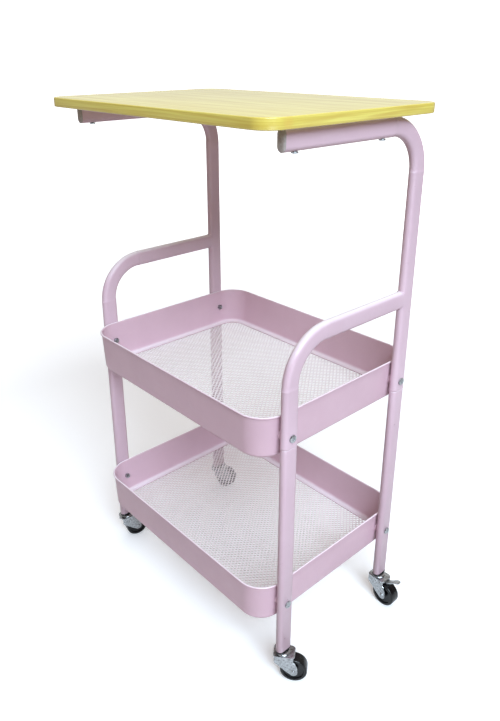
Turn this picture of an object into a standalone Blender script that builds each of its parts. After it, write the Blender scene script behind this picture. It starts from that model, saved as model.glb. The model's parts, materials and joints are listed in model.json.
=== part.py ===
"""Rolling manicure table: a wooden worktop carried by two bent oval-tube side frames, with two sheet
baskets bolted between the frames and four small swivel casters, two of them braked.

The pieces are drawn in the table's own axes: X runs along the baskets' long walls, -Y is the open
front under the worktop's overhang, +Z is up, the floor is z = 0 and x = y = 0 is below the middle of
the baskets. ORIGIN then moves them all so that the world origin is on the floor at the centre of the
table's bounding box.
"""

import math

import bmesh
import bpy
from mathutils import Matrix, Vector

MM = 0.001
GAP = 0.3 * MM

# Oval tube of both side frames
TUBE_WIDTH = 25 * MM
TUBE_DEPTH = 12.5 * MM
TUBE_WALL = 1.2 * MM
TUBE_ARC_STEPS = 6
BEND_RADIUS = 60 * MM
BEND_STEPS = 6

# Side frames
LEG_X = 206.6 * MM
LEG_Y = 113.5 * MM
LEG_FOOT_Z = 54 * MM
SEAM_Z = 396 * MM
SPIGOT_LENGTH = 40 * MM
SPIGOT_INSET = 1.5 * MM
SHOULDER_LENGTH = 2 * MM
HANDLE_Z = 539 * MM
TOP_TUBE_FRONT_Y = -135 * MM

# Worktop
WORKTOP_SIZE = (450 * MM, 305 * MM)
WORKTOP_THICKNESS = 13 * MM
WORKTOP_TOP_Z = 800 * MM
WORKTOP_CENTRE_Y = -22.5 * MM
WORKTOP_CORNER = 25 * MM
WORKTOP_EDGE = 0.8 * MM
WORKTOP_BOTTOM_Z = WORKTOP_TOP_Z - WORKTOP_THICKNESS
TOP_TUBE_Z = WORKTOP_BOTTOM_Z - GAP - TUBE_WIDTH / 2

# Baskets: outer size over the rolled rim
BASKET_SIZE = (400 * MM, 310 * MM)
BASKET_CORNER = 40 * MM
BASKET_HEIGHT = 62 * MM
BASKET_RIM_Z = {"upper": 441 * MM, "lower": 171 * MM}
SHEET = 1.0 * MM
RIM_WIDTH = 3 * MM
RIM_DROP = 4 * MM
WALL_TAPER = 2.5 * MM
COVE_RADIUS = 5 * MM
LEDGE_WIDTH = 5 * MM
CORNER_STEPS = 5
FLOOR_SHEET = 0.5 * MM
FLOOR_OVERLAP = 6 * MM

# Basket bolts and nuts
BOLT_DROP = 30 * MM
BOLT_RADIUS = 2.5 * MM
BOLT_HOLE = 2.8 * MM
BOLT_HEAD_RADIUS = 5.4 * MM
BOLT_HEAD_HEIGHT = 3.0 * MM
BOLT_POINT = 0.5 * MM
BOSS_RADIUS = 8 * MM
BOSS_TIP_SHARE = 0.8
NUT_ACROSS_FLATS = 8 * MM
NUT_HEIGHT = 4 * MM
NUT_SEAT_GAP = 0.55 * MM
THREAD_BEYOND_NUT = 1.2 * MM

# Worktop screws
SCREW_Y = {"front": -116 * MM, "rear": 35 * MM}
SCREW_RADIUS = 2 * MM
SCREW_HOLE = 2.3 * MM
SCREW_HEAD_RADIUS = 4.2 * MM
SCREW_HEAD_HEIGHT = 2.4 * MM
SCREW_TIP_Z = WORKTOP_TOP_Z - 3.5 * MM

# Casters: swivel axis on the leg's axis, wheel trailing behind it
WHEEL_RADIUS = 20 * MM
WHEEL_HALF_WIDTH = 9 * MM
WHEEL_BORE = 2.58 * MM
TRAIL = 16.5 * MM
AXLE_RADIUS = 2.5 * MM
AXLE_HEAD_RADIUS = 4 * MM
AXLE_HEAD_HEIGHT = 1.4 * MM
FORK_HALF_WIDTH = 11.5 * MM
FORK_SHEET = 1.5 * MM
FORK_PLATE_Z = 47 * MM
FORK_PLATE_SHEET = 2 * MM
FORK_BACK_X = -14 * MM
FORK_NOSE_X = 18 * MM
FORK_PLAN_CORNER = 5 * MM
FORK_SHOULDER_Z = 38 * MM
FORK_WAIST_Z = 33 * MM
FORK_BOSS_RADIUS = 6.2 * MM
STEM_RADIUS = 3 * MM
STEM_TOP_Z = 74 * MM
STEM_CHAMFER = 0.8 * MM
RACE_RADIUS = 10.8 * MM
RACE_CROWN_RADIUS = 6 * MM
SWIVEL_NECK_RADIUS = 3.4 * MM
SWIVEL_HOLE = 3.7 * MM
RIVET_RADIUS = 6 * MM
RIVET_HEIGHT = 1.6 * MM
COLLAR_THICKNESS = 3.4 * MM
INSERT_TOP_Z = 78 * MM
BRAKE_PIVOT = (11.5 * MM, 42.3 * MM)
BRAKE_PIN_RADIUS = 1.2 * MM
BRAKE_PIN_HEAD_RADIUS = 2 * MM
BRAKE_PIN_HEAD_HEIGHT = 0.8 * MM
BRAKE_PIN_CLEARANCE = 0.09 * MM
BRAKE_HUB_RADIUS = 2.4 * MM
BRAKE_HALF_WIDTH = 4.5 * MM
BRAKE_REACH = 41.5 * MM
BRAKE_TAB_Z = 54.4 * MM
BRAKE_SHEET = 2 * MM

# Hub, web and tread of the wheel
HUB_RADIUS = 4.6 * MM
HUB_PROUD = 0.5 * MM
WEB_HALF_WIDTH = 6.5 * MM
DISH_RADIUS = 15 * MM

# Direction in which each caster's wheel trails, in degrees from +X
CASTERS = {
    "front_right": {"side": 1, "end": -1, "trail": 38, "brake": False},
    "rear_right": {"side": 1, "end": 1, "trail": 0, "brake": True},
    "front_left": {"side": -1, "end": -1, "trail": 80, "brake": True},
    "rear_left": {"side": -1, "end": 1, "trail": 68, "brake": False},
}
SIDES = {"right": 1, "left": -1}
ENDS = {"front": -1, "rear": 1}

# The table's bounding box runs from the worktop's left edge to the tip of the rear right brake lever,
# and from the worktop's front edge to the baskets' rear rims
BRAKE_TIP_X = LEG_X + BRAKE_REACH
BOX_MIDDLE_X = (BRAKE_TIP_X - WORKTOP_SIZE[0] / 2) / 2
BOX_MIDDLE_Y = (BASKET_SIZE[1] / 2 + WORKTOP_CENTRE_Y - WORKTOP_SIZE[1] / 2) / 2
ORIGIN = Matrix.Translation((-BOX_MIDDLE_X, -BOX_MIDDLE_Y, 0))

ROUND_STEPS = 12
WHEEL_STEPS = 16

# Turns a drawing in the local XY plane into the YZ plane, its thickness along X
DRAWN_IN_YZ = Matrix(((0, 0, 1), (1, 0, 0), (0, 1, 0))).to_4x4()
# Turns a piece modelled round local Z so that it lies along +X
ALONG_X = Matrix.Rotation(math.radians(90), 4, "Y")


def clear_scene():
    for obj in list(bpy.data.objects):
        bpy.data.objects.remove(obj, do_unlink=True)


def make_collection(name):
    collection = bpy.data.collections.new(name)
    bpy.context.scene.collection.children.link(collection)
    return collection


clear_scene()
PARTS = make_collection("manicure_table")
CUTTERS = make_collection("cutters")


def make_material(name, colour, roughness, metallic=0.0):
    material = bpy.data.materials.new(name)
    material.use_nodes = True
    shader = material.node_tree.nodes["Principled BSDF"]
    shader.inputs["Base Color"].default_value = (*colour, 1.0)
    shader.inputs["Roughness"].default_value = roughness
    shader.inputs["Metallic"].default_value = metallic
    return material


PINK = (0.62, 0.46, 0.56)
PALE_PINK = (0.66, 0.56, 0.56)
PINE = (0.84, 0.72, 0.36)
ZINC = (0.70, 0.72, 0.74)
BLACK = (0.012, 0.012, 0.014)
GREY_PLASTIC = (0.42, 0.45, 0.46)


# ---------------------------------------------------------------- outlines


def racetrack(width, depth, steps=TUBE_ARC_STEPS):
    """Closed oval outline with two flat sides and two half-round ends, wide along x."""
    radius = depth / 2
    straight = width / 2 - radius
    points = []
    for side in (1, -1):
        for step in range(steps + 1):
            angle = math.pi * step / steps
            points.append((side * (straight + radius * math.sin(angle)), side * radius * math.cos(angle)))
    return points


def rounded_rectangle(width, depth, radius, steps=CORNER_STEPS):
    """Closed outline, counter-clockwise, with one arc at each corner."""
    points = []
    for quarter, (sx, sy) in enumerate(((1, 1), (-1, 1), (-1, -1), (1, -1))):
        for step in range(steps + 1):
            angle = math.pi / 2 * (quarter + step / steps)
            x = sx * (width / 2 - radius) + radius * math.cos(angle)
            y = sy * (depth / 2 - radius) + radius * math.sin(angle)
            points.append((x, y))
    return points


def arc(centre, radius, start, end, steps):
    """Points on an arc, its angles in degrees."""
    angles = [math.radians(start + (end - start) * step / steps) for step in range(steps + 1)]
    return [(centre[0] + radius * math.cos(a), centre[1] + radius * math.sin(a)) for a in angles]


def bent_path(y_start, z_start, y_end, z_end):
    """Path in the YZ plane: straight up, a quarter bend, then level to y_end."""
    turn = math.copysign(1, y_end - y_start)
    path = [(y_start, z_start)]
    for step in range(BEND_STEPS + 1):
        angle = math.pi / 2 * step / BEND_STEPS
        y = y_start + turn * BEND_RADIUS * (1 - math.cos(angle))
        z = z_end - BEND_RADIUS * (1 - math.sin(angle))
        path.append((y, z))
    path.append((y_end, z_end))
    return path


# ---------------------------------------------------------------- building blocks


def link(name, data, material, matrix, collection=None):
    """Object with its place given in the table's own axes; without a material it is a hidden cutter."""
    obj = bpy.data.objects.new(name, data)
    obj.matrix_world = ORIGIN @ matrix
    (collection or PARTS).objects.link(obj)
    if material is None:
        obj.hide_render = True
        obj.display_type = "WIRE"
    else:
        data.materials.append(material)
    return obj


def as_cutter(name, data, matrix):
    return link(name, data, None, matrix, CUTTERS)


def poly_curve(name, points, closed):
    curve = bpy.data.curves.new(name, "CURVE")
    curve.dimensions = "2D"
    spline = curve.splines.new("POLY")
    spline.points.add(len(points) - 1)
    for point, (x, y) in zip(spline.points, points):
        point.co = (x, y, 0, 1)
    spline.use_cyclic_u = closed
    return curve


def evaluated_mesh(curve_object):
    """The curve object's shape as a mesh with its caps welded; the curve is removed."""
    bpy.context.view_layer.update()
    depsgraph = bpy.context.evaluated_depsgraph_get()
    mesh = bpy.data.meshes.new_from_object(curve_object.evaluated_get(depsgraph))
    curve = curve_object.data
    bpy.data.objects.remove(curve_object, do_unlink=True)
    bpy.data.curves.remove(curve)
    shape = bmesh.new()
    shape.from_mesh(mesh)
    bmesh.ops.remove_doubles(shape, verts=shape.verts, dist=0.001 * MM)
    bmesh.ops.recalc_face_normals(shape, faces=shape.faces)
    shape.to_mesh(mesh)
    shape.free()
    mesh.materials.clear()
    return mesh


def plate_mesh(name, outline, thickness):
    """Flat outline in the XY plane, thickened equally to both sides."""
    curve = poly_curve(name, outline, closed=True)
    curve.fill_mode = "BOTH"
    curve.extrude = thickness / 2
    return evaluated_mesh(as_cutter(name, curve, Matrix.Identity(4)))


def swept_mesh(name, path, section):
    """Open tube: the section carried along a path in the XY plane, with both ends left open."""
    profile = as_cutter(f"{name}_section", poly_curve(f"{name}_section", section, True), Matrix.Identity(4))
    curve = poly_curve(name, path, closed=False)
    curve.bevel_mode = "OBJECT"
    curve.bevel_object = profile
    mesh = evaluated_mesh(as_cutter(name, curve, Matrix.Identity(4)))
    bpy.data.objects.remove(profile, do_unlink=True)
    return mesh


def lofted_mesh(name, rings):
    """Open surface through closed rings of equal point count, each ring (outline, height)."""
    shape = bmesh.new()
    loops = [[shape.verts.new((x, y, z)) for x, y in outline] for outline, z in rings]
    for low, high in zip(loops, loops[1:]):
        for index in range(len(low)):
            after = (index + 1) % len(low)
            shape.faces.new((low[index], low[after], high[after], high[index]))
    mesh = bpy.data.meshes.new(name)
    shape.to_mesh(mesh)
    shape.free()
    return mesh


def cylinder_mesh(name, radius, length, segments=ROUND_STEPS, end_radius=None):
    shape = bmesh.new()
    top = radius if end_radius is None else end_radius
    bmesh.ops.create_cone(shape, cap_ends=True, segments=segments, radius1=radius, radius2=top, depth=length)
    mesh = bpy.data.meshes.new(name)
    shape.to_mesh(mesh)
    shape.free()
    return mesh


def box_mesh(name, size):
    shape = bmesh.new()
    bmesh.ops.create_cube(shape, size=1.0, matrix=Matrix.Diagonal((*size, 1.0)))
    mesh = bpy.data.meshes.new(name)
    shape.to_mesh(mesh)
    shape.free()
    return mesh


def turned(name, profile, material, matrix, closed=False, steps=ROUND_STEPS):
    """Profile of (radius, height) points, run top to bottom on its outer side, spun round local Z."""
    mesh = bpy.data.meshes.new(name)
    count = len(profile)
    edges = [(i, i + 1) for i in range(count - 1)]
    if closed:
        edges.append((count - 1, 0))
    mesh.from_pydata([(r, 0, z) for r, z in profile], edges, [])
    obj = link(name, mesh, material, matrix)
    spin = obj.modifiers.new("Spin", "SCREW")
    spin.axis = "Z"
    spin.steps = steps
    spin.render_steps = steps
    spin.use_merge_vertices = True
    spin.merge_threshold = 0.01 * MM
    spin.use_smooth_shade = True
    return obj


def hollow_out(obj, thickness, offset=-1.0):
    shell = obj.modifiers.new("Wall", "SOLIDIFY")
    shell.thickness = thickness
    shell.offset = offset
    shell.use_even_offset = True
    return shell


def combine(obj, tool, operation):
    change = obj.modifiers.new(operation.title(), "BOOLEAN")
    change.operation = operation
    change.object = tool
    return change


def bored(obj, name, radius, length, matrix):
    """Cuts a round hole whose axis is the matrix's local Z."""
    half_facet = Matrix.Rotation(math.pi / ROUND_STEPS, 4, "Z")
    drill = as_cutter(name, cylinder_mesh(name, radius, length), matrix @ half_facet)
    combine(obj, drill, "DIFFERENCE")


def soften(obj, angle=30):
    """Shades round stretches smooth and keeps edges sharper than the angle."""
    obj.data.shade_smooth()
    obj.data.set_sharp_from_angle(angle=math.radians(angle))


# ---------------------------------------------------------------- side frames


def bolt_places():
    """Name and side-frame place of each bolt that holds a basket to a leg."""
    for level, rim_z in BASKET_RIM_Z.items():
        for end_name, end in ENDS.items():
            for side_name, side in SIDES.items():
                place = Vector((side * LEG_X, end * LEG_Y, rim_z - BOLT_DROP))
                yield f"{level}_{end_name}_{side_name}", level, side, place


def bolt_hole(obj, label, place):
    bored(obj, f"{obj.name}_hole_{label}", BOLT_HOLE, 2 * TUBE_WIDTH, Matrix.Translation(place) @ ALONG_X)


def make_post_tube(side_name, material):
    """Tall rear tube: up from the seam, bent forward, then level under the worktop."""
    side = SIDES[side_name]
    path = bent_path(LEG_Y, SEAM_Z, TOP_TUBE_FRONT_Y, TOP_TUBE_Z)
    name = f"rear_post_{side_name}"
    mesh = swept_mesh(name, path, racetrack(TUBE_WIDTH, TUBE_DEPTH))
    obj = link(name, mesh, material, Matrix.Translation((side * LEG_X, 0, 0)) @ DRAWN_IN_YZ)
    hollow_out(obj, TUBE_WALL)
    bolt_hole(obj, "upper", Vector((side * LEG_X, LEG_Y, BASKET_RIM_Z["upper"] - BOLT_DROP)))
    for end_name, y in SCREW_Y.items():
        middle = Matrix.Translation((side * LEG_X, y, TOP_TUBE_Z))
        bored(obj, f"{name}_screw_{end_name}", SCREW_HOLE, 2 * TUBE_WIDTH, middle)
    soften(obj)
    return obj


def make_handle_tube(side_name, material):
    """Front tube: up from the seam, bent back, then level to the rear post, coped to its round edge."""
    side = SIDES[side_name]
    path = bent_path(-LEG_Y, SEAM_Z, LEG_Y - TUBE_DEPTH / 2, HANDLE_Z)
    name = f"side_handle_{side_name}"
    mesh = swept_mesh(name, path, racetrack(TUBE_WIDTH, TUBE_DEPTH))
    obj = link(name, mesh, material, Matrix.Translation((side * LEG_X, 0, 0)) @ DRAWN_IN_YZ)
    hollow_out(obj, TUBE_WALL)
    bolt_hole(obj, "upper", Vector((side * LEG_X, -LEG_Y, BASKET_RIM_Z["upper"] - BOLT_DROP)))
    cope_outline = [(y, x) for x, y in racetrack(TUBE_WIDTH + 2 * GAP, TUBE_DEPTH + 2 * GAP)]
    cope = plate_mesh(f"{name}_cope", cope_outline, 3 * TUBE_WIDTH)
    post = Matrix.Translation((side * LEG_X, LEG_Y, HANDLE_Z))
    combine(obj, as_cutter(f"{name}_cope", cope, post), "DIFFERENCE")
    soften(obj)
    return obj


def make_lower_leg(label, side, end, material):
    """Straight tube from the caster to the seam, with a necked spigot that enters the upper tube."""
    neck = 2 * SPIGOT_INSET
    full = [(y, x) for x, y in racetrack(TUBE_WIDTH, TUBE_DEPTH)]
    slim = [(y, x) for x, y in racetrack(TUBE_WIDTH - neck, TUBE_DEPTH - neck)]
    rings = [
        (full, LEG_FOOT_Z),
        (full, SEAM_Z - SHOULDER_LENGTH - GAP),
        (slim, SEAM_Z - GAP),
        (slim, SEAM_Z + SPIGOT_LENGTH),
    ]
    name = f"lower_leg_{label}"
    x, y = side * LEG_X, end * LEG_Y
    obj = link(name, lofted_mesh(name, rings), material, Matrix.Translation((x, y, 0)))
    hollow_out(obj, TUBE_WALL)
    for level, rim_z in BASKET_RIM_Z.items():
        bolt_hole(obj, level, Vector((x, y, rim_z - BOLT_DROP)))
    soften(obj)
    return obj


def make_end_plug(side_name, material):
    """Plug pressed into the front end of the top tube, its face flush with the tube's outline."""
    side = SIDES[side_name]
    face, lip, depth = 2.2 * MM, GAP, 12 * MM
    inner = 2 * (TUBE_WALL + GAP)
    full = racetrack(TUBE_WIDTH, TUBE_DEPTH)
    slim = racetrack(TUBE_WIDTH - inner, TUBE_DEPTH - inner)
    name = f"tube_end_plug_{side_name}"
    turn = Matrix.Rotation(math.radians(90), 4, "Y") @ Matrix.Rotation(math.radians(-90), 4, "X")
    front = Matrix.Translation((side * LEG_X, TOP_TUBE_FRONT_Y - lip - face / 2, TOP_TUBE_Z)) @ turn
    obj = link(name, plate_mesh(name, full, face), material, front)
    back_y = TOP_TUBE_FRONT_Y - face + depth / 2
    back = Matrix.Translation((side * LEG_X, back_y, TOP_TUBE_Z)) @ turn
    combine(obj, as_cutter(f"{name}_body", plate_mesh(f"{name}_body", slim, depth), back), "UNION")
    soften(obj)
    return obj


# ---------------------------------------------------------------- worktop and its screws


def make_worktop(material):
    outline = rounded_rectangle(*WORKTOP_SIZE, WORKTOP_CORNER)
    mesh = plate_mesh("worktop", outline, WORKTOP_THICKNESS)
    middle_z = WORKTOP_TOP_Z - WORKTOP_THICKNESS / 2
    obj = link("worktop", mesh, material, Matrix.Translation((0, WORKTOP_CENTRE_Y, middle_z)))
    edge = obj.modifiers.new("Edge", "BEVEL")
    edge.width = WORKTOP_EDGE
    edge.segments = 1
    edge.limit_method = "ANGLE"
    edge.angle_limit = math.radians(60)
    depth = 2 * (SCREW_TIP_Z + GAP - WORKTOP_BOTTOM_Z)
    for end_name, y in SCREW_Y.items():
        for side_name, side in SIDES.items():
            mouth = Matrix.Translation((side * LEG_X, y, WORKTOP_BOTTOM_Z))
            bored(obj, f"worktop_hole_{end_name}_{side_name}", SCREW_HOLE, depth, mouth)
    soften(obj)
    return obj


def make_worktop_screw(end_name, side_name, material):
    """Long screw driven up through the top tube into the worktop, pan head below the tube."""
    seat = TOP_TUBE_Z - TUBE_WIDTH / 2 - GAP
    crown = seat - SCREW_HEAD_HEIGHT
    profile = [
        (0, SCREW_TIP_Z),
        (SCREW_RADIUS, SCREW_TIP_Z - 1.5 * SCREW_RADIUS),
        (SCREW_RADIUS, seat),
        (SCREW_HEAD_RADIUS, seat),
        (SCREW_HEAD_RADIUS * 0.9, crown + SCREW_HEAD_HEIGHT / 3),
        (SCREW_HEAD_RADIUS * 0.5, crown),
        (0, crown),
    ]
    place = Matrix.Translation((SIDES[side_name] * LEG_X, SCREW_Y[end_name], 0))
    return turned(f"worktop_screw_{end_name}_{side_name}", profile, material, place)


# ---------------------------------------------------------------- baskets


def basket_section():
    """(inset from the rim's outside, height from its top) of the sheet's inner face, ledge to hem."""
    wall_inset = RIM_WIDTH
    foot_inset = wall_inset + WALL_TAPER
    floor = SHEET - BASKET_HEIGHT
    bead = RIM_WIDTH / 2
    section = [(foot_inset + COVE_RADIUS + LEDGE_WIDTH, floor)]
    section += arc((foot_inset + COVE_RADIUS, floor + COVE_RADIUS), COVE_RADIUS, 270, 180, 3)
    section += arc((bead, -bead), bead, 0, 180, 4)
    section.append((0, -RIM_DROP))
    return section


def make_basket(level, material):
    rings = []
    for inset, height in basket_section():
        outline = rounded_rectangle(
            BASKET_SIZE[0] - 2 * inset, BASKET_SIZE[1] - 2 * inset, BASKET_CORNER - inset
        )
        rings.append((outline, height))
    name = f"{level}_basket"
    rim_z = BASKET_RIM_Z[level]
    obj = link(name, lofted_mesh(name, rings), material, Matrix.Translation((0, 0, rim_z)))
    hollow_out(obj, SHEET, offset=1.0)
    for label, bolt_level, side, place in bolt_places():
        if bolt_level == level:
            add_bolt_boss(obj, label, side, place)
    soften(obj)
    return obj


def wall_inside_x(drop):
    """Distance of the basket wall's inner face from the middle, at a drop below the rim's top."""
    straight_top = RIM_WIDTH / 2
    straight_foot = BASKET_HEIGHT - SHEET - COVE_RADIUS
    share = (drop - straight_top) / (straight_foot - straight_top)
    return BASKET_SIZE[0] / 2 - RIM_WIDTH - WALL_TAPER * share


def add_bolt_boss(basket, label, side, place):
    """Pressed boss that reaches from the wall to the leg round each bolt hole."""
    root = wall_inside_x(BOLT_DROP) + SHEET * 0.5
    tip = LEG_X - TUBE_DEPTH / 2 - GAP
    middle = Matrix.Translation((side * (root + tip) / 2, place.y, place.z))
    turn = ALONG_X if side > 0 else ALONG_X.inverted()
    name = f"{basket.name}_boss_{label}"
    boss = cylinder_mesh(name, BOSS_RADIUS, tip - root, end_radius=BOSS_RADIUS * BOSS_TIP_SHARE)
    combine(basket, as_cutter(name, boss, middle @ turn), "UNION")
    bored(basket, f"{name}_hole", BOLT_HOLE, 4 * (tip - root), middle @ turn)


def make_mesh_floor(level, material):
    """Floor panel welded below the basket's inward ledge."""
    foot_inset = RIM_WIDTH + WALL_TAPER
    inset = foot_inset + COVE_RADIUS + LEDGE_WIDTH - FLOOR_OVERLAP
    outline = rounded_rectangle(
        BASKET_SIZE[0] - 2 * inset, BASKET_SIZE[1] - 2 * inset, BASKET_CORNER - inset
    )
    top = BASKET_RIM_Z[level] - BASKET_HEIGHT - GAP
    name = f"{level}_mesh_floor"
    place = Matrix.Translation((0, 0, top - FLOOR_SHEET / 2))
    return link(name, plate_mesh(name, outline, FLOOR_SHEET), material, place)


def make_basket_bolt(label, side, place, material):
    """Pan-head bolt through leg and basket wall, its head on the leg's outer flat."""
    seat = LEG_X + TUBE_DEPTH / 2 + GAP
    tip = wall_inside_x(BOLT_DROP) - NUT_SEAT_GAP - NUT_HEIGHT - THREAD_BEYOND_NUT
    crown = seat + BOLT_HEAD_HEIGHT
    profile = [
        (0, crown),
        (BOLT_HEAD_RADIUS * 0.5, crown),
        (BOLT_HEAD_RADIUS * 0.88, crown - BOLT_HEAD_HEIGHT * 0.3),
        (BOLT_HEAD_RADIUS, seat + BOLT_HEAD_HEIGHT / 6),
        (BOLT_HEAD_RADIUS, seat),
        (BOLT_RADIUS, seat),
        (BOLT_RADIUS, tip + BOLT_POINT),
        (BOLT_RADIUS - BOLT_POINT, tip),
        (0, tip),
    ]
    turn = ALONG_X if side > 0 else ALONG_X.inverted()
    matrix = Matrix.Translation((0, place.y, place.z)) @ turn
    return turned(f"basket_bolt_{label}", profile, material, matrix)


def make_basket_nut(label, side, place, material):
    outer = wall_inside_x(BOLT_DROP) - NUT_SEAT_GAP
    middle = Matrix.Translation((side * (outer - NUT_HEIGHT / 2), place.y, place.z)) @ ALONG_X
    name = f"basket_nut_{label}"
    corner_radius = NUT_ACROSS_FLATS / 2 / math.cos(math.radians(30))
    obj = link(name, cylinder_mesh(name, corner_radius, NUT_HEIGHT, segments=6), material, middle)
    bored(obj, f"{name}_thread", BOLT_RADIUS + GAP, 3 * NUT_HEIGHT, middle)
    return obj


# ---------------------------------------------------------------- casters


def caster_frame(caster):
    """Matrix of a caster: origin on the floor below the leg, +X towards the trailing wheel."""
    place = Matrix.Translation((caster["side"] * LEG_X, caster["end"] * LEG_Y, 0))
    return place @ Matrix.Rotation(math.radians(caster["trail"]), 4, "Z")


def leg_frame(caster):
    return Matrix.Translation((caster["side"] * LEG_X, caster["end"] * LEG_Y, 0))


def across(x, z):
    """Turns a piece made round local Z so that it lies across the fork at (x, z)."""
    return Matrix.Translation((x, 0, z)) @ Matrix.Rotation(math.radians(-90), 4, "X")


def make_leg_insert(label, caster, material):
    """Black plug in the leg's foot: a collar under the tube's end and a socket for the stem."""
    collar_top = LEG_FOOT_Z - GAP
    inner = 2 * (TUBE_WALL + GAP)
    full = [(y, x) for x, y in racetrack(TUBE_WIDTH, TUBE_DEPTH)]
    slim = [(y, x) for x, y in racetrack(TUBE_WIDTH - inner, TUBE_DEPTH - inner)]
    name = f"leg_insert_{label}"
    base = leg_frame(caster)
    collar = base @ Matrix.Translation((0, 0, collar_top - COLLAR_THICKNESS / 2))
    obj = link(name, plate_mesh(name, full, COLLAR_THICKNESS), material, collar)
    low = collar_top - COLLAR_THICKNESS / 2
    plug = base @ Matrix.Translation((0, 0, (low + INSERT_TOP_Z) / 2))
    body = plate_mesh(f"{name}_body", slim, INSERT_TOP_Z - low)
    combine(obj, as_cutter(f"{name}_body", body, plug), "UNION")
    bored(obj, f"{name}_socket", STEM_RADIUS + GAP, 3 * (INSERT_TOP_Z - LEG_FOOT_Z), plug)
    soften(obj)
    return obj


def make_caster_stem(label, caster, material):
    """Pin held in the insert, with a domed race cup above the fork and a riveted head below it."""
    cup_top = LEG_FOOT_Z - GAP - COLLAR_THICKNESS - GAP
    cup_foot = FORK_PLATE_Z + GAP
    plate_foot = FORK_PLATE_Z - FORK_PLATE_SHEET - GAP
    profile = [
        (0, STEM_TOP_Z),
        (STEM_RADIUS - STEM_CHAMFER, STEM_TOP_Z),
        (STEM_RADIUS, STEM_TOP_Z - STEM_CHAMFER),
        (STEM_RADIUS, cup_top),
        (RACE_CROWN_RADIUS, cup_top),
        (RACE_RADIUS * 0.83, cup_top - 0.9 * MM),
        (RACE_RADIUS * 0.97, cup_top - 2.4 * MM),
        (RACE_RADIUS, cup_foot),
        (SWIVEL_NECK_RADIUS, cup_foot),
        (SWIVEL_NECK_RADIUS, plate_foot),
        (RIVET_RADIUS, plate_foot),
        (RIVET_RADIUS * 0.83, plate_foot - RIVET_HEIGHT * 0.85),
        (0, plate_foot - RIVET_HEIGHT),
    ]
    return turned(f"caster_stem_{label}", profile, material, leg_frame(caster))


def fork_outline():
    """Side view of the fork: a wide top that narrows to the axle boss."""
    corner = 1.5 * MM
    outline = [(FORK_BACK_X + corner, FORK_PLATE_Z), (FORK_BACK_X, FORK_PLATE_Z - corner)]
    outline += [(FORK_BACK_X, FORK_SHOULDER_Z), (FORK_BACK_X * 2 / 3, FORK_WAIST_Z)]
    outline += [(6.5 * MM, 19.5 * MM)]
    outline += arc((TRAIL, WHEEL_RADIUS), FORK_BOSS_RADIUS, 215, 380, 7)
    outline += [(FORK_NOSE_X + 2 * corner, FORK_WAIST_Z), (FORK_NOSE_X, FORK_SHOULDER_Z)]
    outline += [(FORK_NOSE_X, FORK_PLATE_Z - corner), (FORK_NOSE_X - corner, FORK_PLATE_Z)]
    return outline


def make_caster_fork(label, caster, material):
    """Pressed fork: two cheeks and the round-cornered top plate between them, as one channel."""
    name = f"caster_fork_{label}"
    base = caster_frame(caster)
    side_view = Matrix.Rotation(math.radians(90), 4, "X")
    channel = plate_mesh(name, fork_outline(), 2 * FORK_HALF_WIDTH)
    obj = link(name, channel, material, base @ side_view)
    length = FORK_NOSE_X - FORK_BACK_X + GAP
    plan = rounded_rectangle(length, 2 * FORK_HALF_WIDTH + GAP, FORK_PLAN_CORNER)
    top_part = 2 * (FORK_PLATE_Z - FORK_SHOULDER_Z)
    middle = Matrix.Translation(((FORK_NOSE_X + FORK_BACK_X) / 2, 0, FORK_PLATE_Z))
    trim = as_cutter(f"{name}_plan", plate_mesh(f"{name}_plan", plan, top_part), base @ middle)
    below = FORK_SHOULDER_Z + GAP
    rest = box_mesh(f"{name}_rest", (4 * WHEEL_RADIUS, 3 * FORK_HALF_WIDTH, 2 * below))
    combine(trim, as_cutter(f"{name}_rest", rest, base), "UNION")
    combine(obj, trim, "INTERSECT")
    inside = 2 * (FORK_HALF_WIDTH - FORK_SHEET)
    depth = FORK_PLATE_Z - FORK_PLATE_SHEET
    slot = box_mesh(f"{name}_slot", (4 * WHEEL_RADIUS, inside, 2 * depth))
    combine(obj, as_cutter(f"{name}_slot", slot, base), "DIFFERENCE")
    swivel = base @ Matrix.Translation((0, 0, FORK_PLATE_Z))
    bored(obj, f"{name}_swivel", SWIVEL_HOLE, 4 * FORK_PLATE_SHEET, swivel)
    bored(obj, f"{name}_axle", AXLE_RADIUS + GAP, 4 * FORK_HALF_WIDTH, base @ across(TRAIL, WHEEL_RADIUS))
    if caster["brake"]:
        pin_hole = base @ across(*BRAKE_PIVOT)
        bored(obj, f"{name}_pin", BRAKE_PIN_RADIUS + GAP, 4 * FORK_HALF_WIDTH, pin_hole)
    soften(obj)
    return obj


def make_caster_wheel(label, caster, material):
    """Solid wheel, its hub and tread in one moulding with a dished web on both faces."""
    hub_half = WHEEL_HALF_WIDTH + HUB_PROUD
    outer = [(HUB_RADIUS, hub_half), (HUB_RADIUS + 0.8 * MM, WEB_HALF_WIDTH)]
    outer += [(DISH_RADIUS - 1 * MM, WEB_HALF_WIDTH), (DISH_RADIUS, WHEEL_HALF_WIDTH)]
    outer += [(WHEEL_RADIUS - 2 * MM, WHEEL_HALF_WIDTH), (WHEEL_RADIUS - 0.5 * MM, WHEEL_HALF_WIDTH - 1 * MM)]
    outer.append((WHEEL_RADIUS, WHEEL_HALF_WIDTH - 3 * MM))
    mirrored = [(radius, -height) for radius, height in reversed(outer)]
    bore = [(WHEEL_BORE, -hub_half), (WHEEL_BORE, hub_half)]
    matrix = caster_frame(caster) @ across(TRAIL, WHEEL_RADIUS)
    name = f"caster_wheel_{label}"
    return turned(name, outer + mirrored + bore, material, matrix, closed=True, steps=WHEEL_STEPS)


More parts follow.
